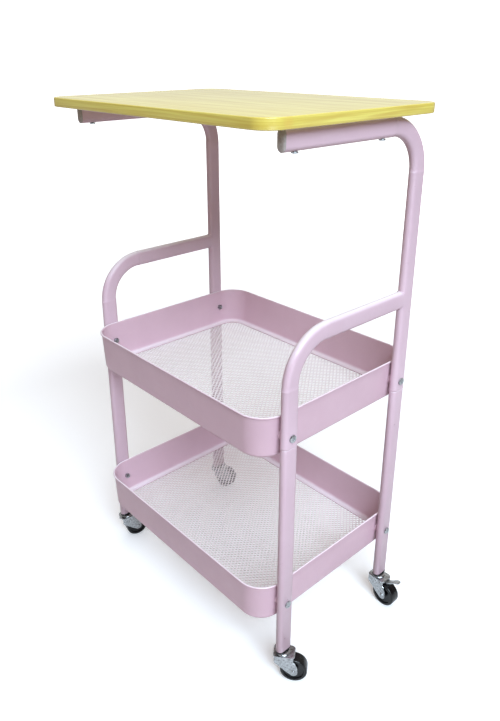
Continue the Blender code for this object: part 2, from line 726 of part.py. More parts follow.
def rivet_profile(radius, head_radius, head_height, half_length):
    """Headed pin, symmetric about its middle."""
    half = [
        (0, half_length + head_height),
        (head_radius * 0.7, half_length + head_height),
        (head_radius, half_length),
        (radius, half_length),
    ]
    return half + [(r, -z) for r, z in reversed(half)]


def make_wheel_axle(label, caster, material):
    profile = rivet_profile(AXLE_RADIUS, AXLE_HEAD_RADIUS, AXLE_HEAD_HEIGHT, FORK_HALF_WIDTH + GAP)
    matrix = caster_frame(caster) @ across(TRAIL, WHEEL_RADIUS)
    return turned(f"wheel_axle_{label}", profile, material, matrix, steps=WHEEL_STEPS)


def make_brake_pin(label, caster, material):
    half_length = FORK_HALF_WIDTH + GAP
    profile = rivet_profile(BRAKE_PIN_RADIUS, BRAKE_PIN_HEAD_RADIUS, BRAKE_PIN_HEAD_HEIGHT, half_length)
    matrix = caster_frame(caster) @ across(*BRAKE_PIVOT)
    return turned(f"brake_pin_{label}", profile, material, matrix)


def brake_outline():
    """Side view of the brake lever: hub round the pin, cam over the wheel, arm up to a foot tab."""
    x, z = BRAKE_PIVOT
    outline = arc((x, z), BRAKE_HUB_RADIUS, 90, 290, 7)
    outline += [(x + 4.5 * MM, z - 1.2 * MM), (x + 7.5 * MM, z - 1 * MM), (x + 10 * MM, z + 0.4 * MM)]
    outline += [(BRAKE_REACH - 8.5 * MM, BRAKE_TAB_Z - 2.9 * MM), (BRAKE_REACH - 1.5 * MM, BRAKE_TAB_Z)]
    outline += [(BRAKE_REACH, BRAKE_TAB_Z + 1.2 * MM), (BRAKE_REACH - 0.3 * MM, BRAKE_TAB_Z + BRAKE_SHEET)]
    outline += [(BRAKE_REACH - 2 * MM, BRAKE_TAB_Z + 1.6 * MM), (BRAKE_REACH - 9.5 * MM, BRAKE_TAB_Z - 1 * MM)]
    outline += [(x + 9 * MM, z + 2.5 * MM), (x + 5.3 * MM, z + 2 * MM)]
    return outline


def make_brake_lever(label, caster, material):
    name = f"brake_lever_{label}"
    base = caster_frame(caster)
    side_view = Matrix.Rotation(math.radians(90), 4, "X")
    x, z = BRAKE_PIVOT
    lever = plate_mesh(name, brake_outline(), 2 * BRAKE_HALF_WIDTH)
    lever.transform(Matrix.Translation((-x, -z, 0)))
    obj = link(name, lever, material, base @ Matrix.Translation((x, 0, z)) @ side_view)
    bore = BRAKE_PIN_RADIUS + BRAKE_PIN_CLEARANCE
    bored(obj, f"{name}_bore", bore, 4 * BRAKE_HALF_WIDTH, base @ across(x, z))
    soften(obj)
    return obj


# ---------------------------------------------------------------- assembly


def build():
    coat = make_material("pink_powder_coat", PINK, 0.42)
    basket_coat = make_material("basket_coat", PINK, 0.45)
    floor_coat = make_material("mesh_coat", PALE_PINK, 0.5)
    pine = make_material("pine_board", PINE, 0.45)
    zinc = make_material("zinc_plate", ZINC, 0.3, 1.0)
    black = make_material("black_nylon", BLACK, 0.4)
    plug = make_material("grey_plug", GREY_PLASTIC, 0.35)

    make_worktop(pine)
    for side_name in SIDES:
        make_post_tube(side_name, coat)
        make_handle_tube(side_name, coat)
        make_end_plug(side_name, plug)
        for end_name in SCREW_Y:
            make_worktop_screw(end_name, side_name, zinc)
    for level in BASKET_RIM_Z:
        make_basket(level, basket_coat)
        make_mesh_floor(level, floor_coat)
    for label, _level, side, place in bolt_places():
        make_basket_bolt(label, side, place, zinc)
        make_basket_nut(label, side, place, zinc)
    for label, caster in CASTERS.items():
        make_lower_leg(label, caster["side"], caster["end"], coat)
        make_leg_insert(label, caster, black)
        make_caster_stem(label, caster, zinc)
        make_caster_fork(label, caster, zinc)
        make_wheel_axle(label, caster, zinc)
        make_caster_wheel(label, caster, black)
        if caster["brake"]:
            make_brake_pin(label, caster, zinc)
            make_brake_lever(label, caster, zinc)


build()
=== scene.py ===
"""Looks of the rolling manicure table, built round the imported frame.

Every shown piece is modelled here at full detail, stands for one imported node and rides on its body.
Lengths are in metres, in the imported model's own axes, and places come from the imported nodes' boxes.
"""

import json
import math

import bmesh
import bpy
from mathutils import Matrix, Vector

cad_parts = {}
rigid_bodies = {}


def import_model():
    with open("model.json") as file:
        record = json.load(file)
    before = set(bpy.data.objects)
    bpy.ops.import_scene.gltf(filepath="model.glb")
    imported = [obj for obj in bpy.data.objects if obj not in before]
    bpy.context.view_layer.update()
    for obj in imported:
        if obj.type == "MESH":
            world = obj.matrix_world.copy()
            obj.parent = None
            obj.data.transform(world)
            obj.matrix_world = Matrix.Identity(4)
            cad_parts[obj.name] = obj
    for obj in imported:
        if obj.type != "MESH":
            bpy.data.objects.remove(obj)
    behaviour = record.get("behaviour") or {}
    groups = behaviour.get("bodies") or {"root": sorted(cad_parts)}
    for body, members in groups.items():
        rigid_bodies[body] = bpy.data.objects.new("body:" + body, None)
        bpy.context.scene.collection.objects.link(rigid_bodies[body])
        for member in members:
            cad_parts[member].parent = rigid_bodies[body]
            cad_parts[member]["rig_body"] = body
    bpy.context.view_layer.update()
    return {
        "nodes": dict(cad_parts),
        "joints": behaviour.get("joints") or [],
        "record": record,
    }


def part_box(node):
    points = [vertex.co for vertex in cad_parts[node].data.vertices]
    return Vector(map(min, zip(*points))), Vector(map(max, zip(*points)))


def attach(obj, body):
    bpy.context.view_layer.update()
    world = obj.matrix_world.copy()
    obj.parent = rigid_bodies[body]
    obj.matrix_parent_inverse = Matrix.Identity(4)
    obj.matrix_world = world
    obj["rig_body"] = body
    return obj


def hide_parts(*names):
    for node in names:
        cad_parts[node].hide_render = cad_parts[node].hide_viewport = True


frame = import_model()

MM = 0.001

# Detail of round shapes, in steps
TUBE_STEPS = 14
BEND_STEPS = 22
CORNER_STEPS = 18
LATHE_STEPS = 48

# Oval tube
TUBE_WALL = 1.2 * MM
BEND_RADIUS = 60 * MM
TUBE_CHAMFER = 0.35 * MM
SHOULDER_LENGTH = 2.2 * MM
SPIGOT_INSET = 1.5 * MM
LIP_PROUD = 0.35 * MM
BEND_SQUEEZE = 0.45 * MM

# Worktop
WORKTOP_CORNER = 25 * MM
WORKTOP_EDGE = 1.6 * MM

# Basket sheet
SHEET = 1.0 * MM
RIM_RADIUS = 1.5 * MM
RIM_CURL = 280
WALL_INSET = 3.0 * MM
WALL_TAPER = 2.5 * MM
COVE_RADIUS = 5.0 * MM
LEDGE_WIDTH = 5.0 * MM
BASKET_CORNER = 40 * MM
BOSS_RADIUS = 8 * MM
BASKET_OUTER = Vector((400 * MM, 310 * MM, 0))

# Expanded metal of the basket floors
MESH_LONG = 8.4 * MM
MESH_SHORT = 6.7 * MM
MESH_STRAND = 1.85 * MM
MESH_TILT = 0.35 * MM
MESH_DEPTH = 0.95 * MM

# Caster forks, with the swivel's axis at 0 and the wheel on the + side
FORK_HALF = 11.5 * MM
FORK_BACK = -14 * MM
FORK_NOSE = 18 * MM
FORK_CORNER = 6 * MM
FORK_SHEET = 1.5 * MM
FORK_TOP_SHEET = 2 * MM
FORK_SHOULDER = 38 * MM
FORK_BEND = 1.5 * MM
AXLE_BOSS = 6.2 * MM
WHEEL_HALF = 9 * MM
TREAD_ROUND = 2.6 * MM

# Brake levers, in the same axes
LEVER_HALF = 4.5 * MM
LEVER_REACH = 41.5 * MM
LEVER_TAB = 54.4 * MM
LEVER_HUB = 2.4 * MM

# Share of paler paint on faces that look up: a painted highlight of the light from above, not wear or dust
TOP_PAINTED_LIGHT = 0.72

# Light of the studio's dome on the table, and the lift that keeps the seen floor pale
WORLD_STRENGTH = 0.17
BRIGHT_STRENGTH = 0.80
BRIGHT_SIDE = (-0.65, 0.72, 0.25)
FLOOR_GLOW = 0.16
FAR_GLOW = 1.1
BACKDROP = 1.05
DIM_TINT = (1.0, 0.76, 0.68)
BRIGHT_TINT = (1.0, 1.0, 0.97)

# Lamps, each with its place, target, size, power and colour
LAMPS = {
    "key_right": ((4.0, -1.9, 4.2), (0, 0, 0.3), (3.4, 2.8), 392, (0.85, 1.01, 1.15)),
    "low_right": ((1.6, -0.6, 0.35), (0, 0, -1.2), (0.9, 0.5), 4.5, (0.88, 0.99, 1.08)),
    "overhead": ((0.6, 0.0, 3.2), (0, 0, 0.3), (2.4, 2.4), 17, (0.98, 0.99, 1.0)),
    "front_fill": ((-0.4, -4.2, 2.6), (0, 0, 0.4), (3.0, 2.2), 18, (1.0, 0.86, 0.84)),
}

# Camera, placed from the table's middle; its turn is pan, tilt and roll in degrees
CAMERA_PLACE = (0.6952, -0.6319, 0.8616)
CAMERA_TURN = (48.155, -21.947, -0.294)
CAMERA_LENS = 32.95
CAMERA_SHIFT = (0.0139, -0.0631)

# Tones of the looks, and the roughness of the metal and the wheels
PINK, PINK_DEEP = (0.66, 0.485, 0.56), (0.625, 0.45, 0.525)
BASKET_PINK, BASKET_DEEP = (0.67, 0.465, 0.54), (0.63, 0.43, 0.505)
MESH_PALE, MESH_DEEP = (0.86, 0.80, 0.77), (0.79, 0.72, 0.69)
RUBBED_COAT = (0.74, 0.60, 0.66)
COAT_DUST = (0.80, 0.74, 0.73)
# Pale coat used for the painted light on faces that look up
LIT_TOP_COAT = (0.94, 0.88, 0.92)
COAT_SPECK = (0.30, 0.20, 0.22)
PINE_DARK, PINE_LIGHT = (0.63, 0.475, 0.055), (0.83, 0.74, 0.165)
PINE_RING, PINE_FIBRE = (0.58, 0.37, 0.05), (0.54, 0.35, 0.07)
PINE_PALE, PINE_KNOT = (0.77, 0.67, 0.22), (0.74, 0.47, 0.09)
ZINC_DARK, ZINC_LIGHT, ZINC_STAIN = (0.27, 0.28, 0.285), (0.56, 0.59, 0.61), (0.17, 0.145, 0.12)
NYLON, NYLON_SCUFF, NYLON_DUST = (0.002, 0.0022, 0.003), (0.03, 0.03, 0.034), (0.08, 0.075, 0.07)
ZINC_ROUGHNESS, NYLON_ROUGHNESS = 0.25, 0.24
PLUG_DARK, PLUG_LIGHT = (0.33, 0.28, 0.25), (0.44, 0.42, 0.41)
FLOOR_LOW, FLOOR_HIGH, FLOOR_BOUNCE = (0.93, 0.93, 0.94), (0.96, 0.96, 0.96), (0.23, 0.165, 0.14)

SIDES = {"right": 1, "left": -1}
ENDS = ("front", "rear")
LEVELS = ("upper", "lower")
BOLTS = [(level, end_name, side_name) for level in LEVELS for end_name in ENDS for side_name in SIDES]
CASTERS = ("front_right", "rear_right", "front_left", "rear_left")
SLOT_OF = {entry["node"]: entry["material_slot"] for entry in frame["record"]["subparts"]}
JOINTS = {joint["name"]: joint for joint in frame["joints"]}


def middle(node):
    low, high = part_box(node)
    return (low + high) / 2


def extent(node):
    low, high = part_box(node)
    return high - low


TUBE_DEPTH, TUBE_WIDTH = extent("lower_leg_front_right")[:2]
TABLE_MIDDLE = (middle("lower_leg_front_right") + middle("lower_leg_rear_left")) / 2
TABLE_MIDDLE.z = 0


# ---- node materials


class Nodes:
    """A node tree under construction, with short calls for the nodes it is made of."""

    def __init__(self, owner):
        owner.use_nodes = True
        self.tree = owner.node_tree

    def node(self, kind, **settings):
        made = self.tree.nodes.new(kind)
        for name, value in settings.items():
            setattr(made, name, value)
        return made

    def feed(self, socket, value):
        if isinstance(value, bpy.types.NodeSocket):
            self.tree.links.new(value, socket)
        else:
            socket.default_value = value

    def remap(self, value, low, high, to_low=0.0, to_high=1.0, **settings):
        mapped = self.node("ShaderNodeMapRange", **settings)
        self.feed(mapped.inputs["Value"], value)
        self.feed(mapped.inputs["From Min"], low)
        self.feed(mapped.inputs["From Max"], high)
        self.feed(mapped.inputs["To Min"], to_low)
        self.feed(mapped.inputs["To Max"], to_high)
        return mapped.outputs["Result"]

    def arithmetic(self, operation, first, second=0):
        made = self.node("ShaderNodeMath", operation=operation)
        self.feed(made.inputs[0], first)
        self.feed(made.inputs[1], second)
        return made.outputs["Value"]

    def plus(self, first, second):
        return self.arithmetic("ADD", first, second)

    def times(self, first, second):
        return self.arithmetic("MULTIPLY", first, second)

    def mix(self, share, first, second):
        made = self.node("ShaderNodeMix", data_type="RGBA")
        self.feed(made.inputs["Factor"], share)
        for socket, colour in ((made.inputs[6], first), (made.inputs[7], second)):
            self.feed(socket, colour if isinstance(colour, bpy.types.NodeSocket) else (*colour, 1.0))
        return made.outputs[2]


class Shader(Nodes):
    """A node material, with the textures that its look is made of."""

    def __init__(self, name):
        self.material = bpy.data.materials.new(name)
        super().__init__(self.material)
        self.surface = self.tree.nodes["Principled BSDF"]
        self.place = self.node("ShaderNodeTexCoord").outputs["Object"]

    def set(self, name, value):
        self.feed(self.surface.inputs[name], value)

    def stretched(self, scale, turn=(0, 0, 0), source=None):
        """Object coordinates, or another source's, scaled along each axis."""
        mapping = self.node("ShaderNodeMapping")
        self.feed(mapping.inputs["Vector"], source or self.place)
        mapping.inputs["Scale"].default_value = scale
        mapping.inputs["Rotation"].default_value = turn
        return mapping.outputs["Vector"]

    def noise(self, scale, detail=3.0, roughness=0.5, vector=None, distortion=0.0):
        texture = self.node("ShaderNodeTexNoise")
        self.feed(texture.inputs["Vector"], vector or self.place)
        self.feed(texture.inputs["Scale"], scale)
        self.feed(texture.inputs["Detail"], detail)
        self.feed(texture.inputs["Roughness"], roughness)
        self.feed(texture.inputs["Distortion"], distortion)
        return texture.outputs["Fac"]

    def cells(self, scale):
        texture = self.node("ShaderNodeTexVoronoi")
        self.feed(texture.inputs["Vector"], self.place)
        self.feed(texture.inputs["Scale"], scale)
        return texture.outputs["Distance"]

    def waves(self, scale, vector, distortion, detail):
        texture = self.node("ShaderNodeTexWave", bands_direction="Y")
        self.feed(texture.inputs["Vector"], vector)
        self.feed(texture.inputs["Scale"], scale)
        self.feed(texture.inputs["Distortion"], distortion)
        self.feed(texture.inputs["Detail"], detail)
        return texture.outputs["Fac"]

    def bump(self, height, distance, strength=1.0, below=None):
        made = self.node("ShaderNodeBump")
        self.feed(made.inputs["Height"], height)
        self.feed(made.inputs["Distance"], distance)
        self.feed(made.inputs["Strength"], strength)
        if below is not None:
            self.feed(made.inputs["Normal"], below)
        return made.outputs["Normal"]

    def facing_up(self):
        """1 where the surface looks straight up, 0 where it is upright or looks down."""
        split = self.node("ShaderNodeSeparateXYZ")
        self.feed(split.inputs["Vector"], self.node("ShaderNodeNewGeometry").outputs["Normal"])
        return self.remap(split.outputs["Z"], 0.0, 1.0)


def powder_coat(name, colour, deep, roughness):
    """Satin powder coat: orange peel, faint clouding, settled dust, a few rubbed patches, and paler paint on
    faces that look up as painted light from above.
    """
    coat = Shader(name)
    clouds = coat.noise(14, 4, 0.6)
    tone = coat.mix(coat.remap(clouds, 0.3, 0.7), deep, colour)
    rubbed = coat.remap(coat.noise(55, 6, 0.65, distortion=0.6), 0.58, 0.72)
    tone = coat.mix(coat.times(rubbed, 0.12), tone, RUBBED_COAT)
    dust = coat.times(coat.facing_up(), coat.remap(coat.noise(230, 5, 0.7), 0.42, 0.7))
    tone = coat.mix(coat.times(dust, 0.12), tone, COAT_DUST)
    # Faces that look up are blended towards a pale coat: painted light from above, apart from the real dust
    # mixed in just before
    painted_top_light = coat.remap(coat.facing_up(), 0.35, 0.95, 0.0, TOP_PAINTED_LIGHT)
    tone = coat.mix(painted_top_light, tone, LIT_TOP_COAT)
    specks = coat.remap(coat.cells(420), 0.035, 0.02)
    tone = coat.mix(coat.times(specks, 0.35), tone, COAT_SPECK)
    coat.set("Base Color", tone)
    gloss = coat.remap(coat.noise(90, 5, 0.6), 0.25, 0.75, roughness - 0.06, roughness + 0.08)
    coat.set("Roughness", coat.plus(gloss, coat.times(dust, 0.12)))
    coat.set("Specular IOR Level", 0.55)
    peel = coat.bump(coat.noise(1100, 2, 0.5), 0.035 * MM)
    coat.set("Normal", coat.bump(coat.noise(260, 2, 0.5), 0.10 * MM, below=peel))
    return coat.material


def pine(name):
    """Pale yellow pine under clear lacquer: streaks, growth lines, pores and a knot."""
    wood = Shader(name)
    grain_place = along_each_edge(wood)
    wander = wood.noise(1, 4, 0.6, wood.stretched((4.2, 95, 130), source=grain_place), 0.5)
    fibres = wood.noise(1, 6, 0.7, wood.stretched((26, 900, 900), source=grain_place))
    rings = wood.waves(9.5, wood.stretched((0.5, 5.5, 9.0), (0.06, 0, 0.015), grain_place), 5.5, 3)
    base = wood.mix(wood.remap(wander, 0.38, 0.62), PINE_DARK, PINE_LIGHT)
    base = wood.mix(wood.remap(rings, 0.55, 1.0, 0, 0.34), base, PINE_RING)
    base = wood.mix(wood.remap(fibres, 0.55, 0.8, 0, 0.30), base, PINE_FIBRE)
    base = wood.mix(wood.remap(wood.noise(7, 2), 0.45, 0.75, 0, 0.25), base, PINE_PALE)
    knot = knot_share(wood)
    base = wood.mix(wood.times(knot, 0.55), base, PINE_KNOT)
    wood.set("Base Color", base)
    wood.set("Roughness", wood.remap(fibres, 0.2, 0.8, 0.28, 0.42))
    wood.set("Coat Weight", 0.75)
    wood.set("Coat Roughness", 0.20)
    grain = wood.bump(fibres, 0.05 * MM)
    wood.set("Normal", wood.bump(rings, 0.06 * MM, 0.6, below=grain))
    return wood.material


def along_each_edge(wood):
    """Object coordinates, squeezed on the board's edge so that streaks run level round its corners."""
    parts = wood.node("ShaderNodeSeparateXYZ")
    wood.feed(parts.inputs["Vector"], wood.node("ShaderNodeNewGeometry").outputs["Normal"])
    choice = wood.node("ShaderNodeMix", data_type="VECTOR")
    level = wood.arithmetic("ABSOLUTE", parts.outputs["Z"])
    wood.feed(choice.inputs["Factor"], wood.remap(level, 0.55, 0.85))
    wood.feed(choice.inputs[4], wood.stretched((1, 0.045, 2.3)))
    wood.feed(choice.inputs[5], wood.place)
    return choice.outputs[1]


def knot_share(wood):
    """Soft orange knot in the front right corner of the board's edge."""
    low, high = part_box("worktop")
    centre = Vector((high.x - 3 * MM, low.y + 30 * MM, (low.z + high.z) / 2))
    offset = wood.node("ShaderNodeVectorMath", operation="SUBTRACT")
    wood.feed(offset.inputs[0], wood.place)
    offset.inputs[1].default_value = centre
    length = wood.node("ShaderNodeVectorMath", operation="LENGTH")
    wood.feed(length.inputs[0], offset.outputs["Vector"])
    wavy = wood.plus(length.outputs["Value"], wood.remap(wood.noise(160, 3), 0, 1, -2 * MM, 2 * MM))
    return wood.remap(wavy, 9 * MM, 2 * MM)


def zinc(name):
    """Bright zinc plating: cloudy blue-white tone, fine drawing marks and dull spots."""
    metal = Shader(name)
    clouds = metal.noise(260, 4, 0.6)
    tone = metal.mix(metal.remap(clouds, 0.35, 0.7), ZINC_DARK, ZINC_LIGHT)
    stain = metal.remap(metal.noise(420, 5, 0.7, distortion=0.8), 0.60, 0.75)
    tone = metal.mix(metal.times(stain, 0.45), tone, ZINC_STAIN)
    metal.set("Base Color", tone)
    metal.set("Metallic", 1.0)
    marks = metal.noise(1, 4, 0.6, metal.stretched((600, 600, 3600)))
    metal.set("Roughness", metal.remap(clouds, 0.3, 0.75, ZINC_ROUGHNESS - 0.06, ZINC_ROUGHNESS + 0.16))
    metal.set("Normal", metal.bump(marks, 0.02 * MM, 0.7))
    return metal.material


def black_nylon(name):
    """Moulded black nylon with a faint grain, scuffs and floor dust."""
    nylon = Shader(name)
    scuffs = nylon.remap(nylon.noise(340, 6, 0.7, distortion=1.2), 0.60, 0.74)
    tone = nylon.mix(nylon.times(scuffs, 0.35), NYLON, NYLON_SCUFF)
    dust = nylon.remap(nylon.noise(900, 3, 0.7), 0.62, 0.8, 0, 0.16)
    tone = nylon.mix(dust, tone, NYLON_DUST)
    nylon.set("Base Color", tone)
    nylon.set("Roughness", nylon.plus(nylon.times(scuffs, 0.25), NYLON_ROUGHNESS))
    nylon.set("Specular IOR Level", 0.38)
    nylon.set("Normal", nylon.bump(nylon.noise(1500, 2), 0.02 * MM))
    return nylon.material


def grey_plastic(name):
    """Grey moulded plug with a sheen and slight marbling."""
    plastic = Shader(name)
    cloud = plastic.noise(150, 4, 0.6)
    tone = plastic.mix(plastic.remap(cloud, 0.3, 0.7), PLUG_DARK, PLUG_LIGHT)
    plastic.set("Base Color", tone)
    plastic.set("Roughness", plastic.remap(plastic.noise(420, 4), 0.3, 0.7, 0.18, 0.34))
    plastic.set("Coat Weight", 0.5)
    plastic.set("Coat Roughness", 0.12)
    plastic.set("Normal", plastic.bump(plastic.noise(1300, 2), 0.015 * MM))
    return plastic.material


def floor_paint(name):
    """Plain pale floor with barely visible mottling; what it throws back at the table is dimmer."""
    paint = Shader(name)
    tone = paint.mix(paint.noise(3, 4), FLOOR_LOW, FLOOR_HIGH)
    path = paint.node("ShaderNodeLightPath")
    paint.set("Base Color", paint.mix(path.outputs["Is Diffuse Ray"], tone, FLOOR_BOUNCE))
    away = paint.node("ShaderNodeVectorMath", operation="LENGTH")
    paint.feed(away.inputs[0], paint.place)
    glow = paint.remap(away.outputs["Value"], 0.9, 3.2, FLOOR_GLOW, FAR_GLOW)
    paint.set("Emission Color", (1.0, 1.0, 1.0, 1.0))
    paint.set("Emission Strength", paint.times(path.outputs["Is Camera Ray"], glow))
    paint.set("Roughness", paint.remap(paint.noise(20, 3), 0.3, 0.7, 0.62, 0.75))
    paint.set("Normal", paint.bump(paint.noise(160, 2), 0.05 * MM))
    return paint.material


MATERIALS = {
    "pink_powder_coat": powder_coat("pink_powder_coat_look", PINK, PINK_DEEP, 0.32),
    "basket_coat": powder_coat("basket_coat_look", BASKET_PINK, BASKET_DEEP, 0.38),
    "mesh_coat": powder_coat("mesh_coat_look", MESH_PALE, MESH_DEEP, 0.42),
    "pine_board": pine("pine_board_look"),
    "zinc_plate": zinc("zinc_plate_look"),
    "black_nylon": black_nylon("black_nylon_look"),
    "grey_plug": grey_plastic("grey_plug_look"),
}


# ---- outlines


def racetrack(width, depth, steps=TUBE_STEPS):
    """Closed oval outline with two flat sides and two half-round ends, wide along its first axis."""
    radius = depth / 2
    straight = width / 2 - radius
    points = []
    for side in (1, -1):
        for step in range(steps + 1):
            angle = math.pi * step / steps
            points.append((side * (straight + radius * math.sin(angle)), side * radius * math.cos(angle)))
    return points


def rounded_rectangle(width, depth, radius, steps=CORNER_STEPS):
    """Closed outline, counter-clockwise, with one arc at each corner."""
    points = []
    for quarter, (sx, sy) in enumerate(((1, 1), (-1, 1), (-1, -1), (1, -1))):
        for step in range(steps + 1):
            angle = math.pi / 2 * (quarter + step / steps)
            x = sx * (width / 2 - radius) + radius * math.cos(angle)
            y = sy * (depth / 2 - radius) + radius * math.sin(angle)
            points.append((x, y))
    return points


def arc(centre, radius, start, end, steps):
    """Points on an arc, its angles in degrees."""
    angles = [math.radians(start + (end - start) * step / steps) for step in range(steps + 1)]
    return [(centre[0] + radius * math.cos(a), centre[1] + radius * math.sin(a)) for a in angles]


# ---- building blocks


def mm(pairs):
    """Pairs given in millimetres, in metres."""
    return [(first * MM, second * MM) for first, second in pairs]


def linked(name, data):
    """Object of the given data, put in the scene."""
    obj = bpy.data.objects.new(name, data)
    bpy.context.scene.collection.objects.link(obj)
    return obj


def new_object(name, shape):
    """Object from a bmesh, with its faces turned outwards; the bmesh is freed."""
    bmesh.ops.recalc_face_normals(shape, faces=shape.faces)
    mesh = bpy.data.meshes.new(name)
    shape.to_mesh(mesh)
    shape.free()
    return linked(name, mesh)


def skin(shape, low, high):
    """Band of faces between two loops of equally many vertices."""
    for index in range(len(low)):
        after = (index + 1) % len(low)
        shape.faces.new((low[index], low[after], high[after], high[index]))


def loft(name, rings, closed):
    """Skin through rings of points. A closed one joins its last ring to its first; an open one is capped."""
    shape = bmesh.new()
    loops = [[shape.verts.new(point) for point in ring] for ring in rings]
    pairs = list(zip(loops, loops[1:]))
    if closed:
        pairs.append((loops[-1], loops[0]))
    else:
        shape.faces.new(loops[0])
        shape.faces.new(loops[-1])
    for pair in pairs:
        skin(shape, *pair)
    return new_object(name, shape)


def lathe(name, profile, closed=False, steps=LATHE_STEPS):
    """Profile of (radius, height) points spun round local Z; an open one starts and ends on the axis."""
    shape = bmesh.new()
    verts = [shape.verts.new((radius, 0, height)) for radius, height in profile]
    ends = list(zip(verts, verts[1:]))
    if closed:
        ends.append((verts[-1], verts[0]))
    edges = [shape.edges.new(pair) for pair in ends]
    bmesh.ops.spin(shape, geom=verts + edges, axis=(0, 0, 1), cent=(0, 0, 0), steps=steps, angle=math.tau)
    bmesh.ops.remove_doubles(shape, verts=shape.verts, dist=0.002 * MM)
    return new_object(name, shape)


def plate(name, outline, thickness):
    """Flat outline in the XY plane, thickened equally to both sides."""
    half = thickness / 2
    return loft(name, [[(x, y, z) for x, y in outline] for z in (-half, half)], closed=False)


def apply_modifiers(obj):
    depsgraph = bpy.context.evaluated_depsgraph_get()
    mesh = bpy.data.meshes.new_from_object(obj.evaluated_get(depsgraph))
    obj.modifiers.clear()
    obj.data = mesh


def combine(obj, tool, operation):
    """Cuts, joins or trims obj with the tool, which is used up."""
    change = obj.modifiers.new(operation.title(), "BOOLEAN")
    change.operation = operation
    change.object = tool
    bpy.context.view_layer.update()
    apply_modifiers(obj)
    bpy.data.objects.remove(tool, do_unlink=True)


def drill(obj, radius, top, bottom, place):
    """Round hole through obj between two heights of the place's own Z axis."""
    bit = lathe(f"{obj.name}_drill", [(0, top), (radius, top), (radius, bottom), (0, bottom)])
    bit.matrix_world = place
    combine(obj, bit, "DIFFERENCE")


def round_edges(obj, width, segments=2, angle=35):
    edge = obj.modifiers.new("Edge", "BEVEL")
    edge.width = width
    edge.segments = segments
    edge.limit_method = "ANGLE"
    edge.angle_limit = math.radians(angle)
    edge.harden_normals = False
    apply_modifiers(obj)


def merge(obj, *others):
    """Adds other objects' closed shells to obj, in place."""
    shape = bmesh.new()
    for member in (obj, *others):
        copy = member.data.copy()
        copy.transform(obj.matrix_world.inverted() @ member.matrix_world)
        shape.from_mesh(copy)
        bpy.data.meshes.remove(copy)
    shape.to_mesh(obj.data)
    shape.free()
    for member in others:
        bpy.data.objects.remove(member, do_unlink=True)


def finish_piece(obj, node, matrix=None, smooth=40):
    """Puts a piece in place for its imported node: material, shading, body and the node it stands for."""
    if matrix is not None:
        obj.matrix_world = matrix
    slot = SLOT_OF[node]
    obj.data.materials.clear()
    obj.data.materials.append(MATERIALS[slot])
    obj.data.shade_smooth()
    obj.data.set_sharp_from_angle(angle=math.radians(smooth))
    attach(obj, frame["nodes"][node]["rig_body"])
    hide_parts(node)
    return obj


# ---- side frames


def tube(name, stations):
    """Hollow oval tube through stations of (centre, in-plane normal, inset along it, inset across it)."""
    across = Vector((1, 0, 0))

    def ring(station, extra):
        centre, normal, inset, inset_across = station
        width = TUBE_WIDTH - 2 * (inset + extra)
        depth = TUBE_DEPTH - 2 * (inset_across + extra)
        return [centre + normal * w + across * d for w, d in racetrack(width, depth)]

    rings = [ring(station, 0) for station in stations]
    rings += [ring(station, TUBE_WALL) for station in reversed(stations)]
    return loft(name, rings, closed=True)


def bent_stations(x, y_start, z_start, y_end, z_end):
    """Straight up from a rounded lip, round the bend, then level to y_end."""
    turn = math.copysign(1, y_end - y_start)
    outward = Vector((0, -turn, 0))
    lip = [(0.0, TUBE_CHAMFER), (0.5 * MM, 0.0), (1.1 * MM, -LIP_PROUD)]
    lip += [(2.4 * MM, -LIP_PROUD), (3.6 * MM, 0.0)]
    stations = [(Vector((x, y_start, z_start + rise)), outward, inset, inset) for rise, inset in lip]
    bend_foot = z_end - BEND_RADIUS
    for lead, squeeze in ((-1.6 * MM, 0.0), (-0.4 * MM, -0.4)):
        inset = squeeze * BEND_SQUEEZE
        stations.append((Vector((x, y_start, bend_foot + lead)), outward, inset, inset))
    for step in range(BEND_STEPS + 1):
        angle = math.pi / 2 * step / BEND_STEPS
        y = y_start + turn * BEND_RADIUS * (1 - math.cos(angle))
        z = bend_foot + BEND_RADIUS * math.sin(angle)
        normal = Vector((0, -turn * math.cos(angle), math.sin(angle)))
        squeeze = BEND_SQUEEZE * min(1.0, 4 * math.sin(2 * angle) + 0.35)
        stations.append((Vector((x, y, z)), normal, squeeze, -0.3 * squeeze))
    up = Vector((0, 0, 1))
    bend_end = y_start + turn * BEND_RADIUS
    for lead, squeeze in ((0.4 * MM, -0.4), (1.6 * MM, 0.0)):
        inset = squeeze * BEND_SQUEEZE
        stations.append((Vector((x, bend_end + turn * lead, z_end)), up, inset, inset))
    stations.append((Vector((x, y_end - turn * TUBE_CHAMFER, z_end)), up, 0.0, 0.0))
    stations.append((Vector((x, y_end, z_end)), up, TUBE_CHAMFER, TUBE_CHAMFER))
    return stations


def make_rear_post(side_name):
    node = f"rear_post_{side_name}"
    low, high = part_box(node)
    centre = middle(node)
    level = high.z - TUBE_WIDTH / 2
    stations = bent_stations(centre.x, high.y - TUBE_WIDTH / 2, low.z, low.y, level)
    finish_piece(tube(f"{node}_tube", stations), node)


def make_side_handle(side_name):
    """Front tube, its level end shaped to the rear post, with the weld bead round the joint."""
    node = f"side_handle_{side_name}"
    low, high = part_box(node)
    x = middle(node).x
    post_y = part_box(f"rear_post_{side_name}")[1].y - TUBE_WIDTH / 2
    level = high.z - TUBE_WIDTH / 2
    stations = bent_stations(x, low.y + TUBE_WIDTH / 2, low.z, post_y - TUBE_DEPTH / 2, level)
    obj = tube(f"{node}_tube", stations[:-1])
    cope = [(d, w) for w, d in racetrack(TUBE_WIDTH, TUBE_DEPTH)]
    cutter = plate(f"{node}_cope", cope, 3 * TUBE_WIDTH)
    cutter.matrix_world = Matrix.Translation((x, post_y, level))
    combine(obj, cutter, "DIFFERENCE")
    merge(obj, weld_bead(f"{node}_weld", Vector((x, post_y, level))))
    finish_piece(obj, node)


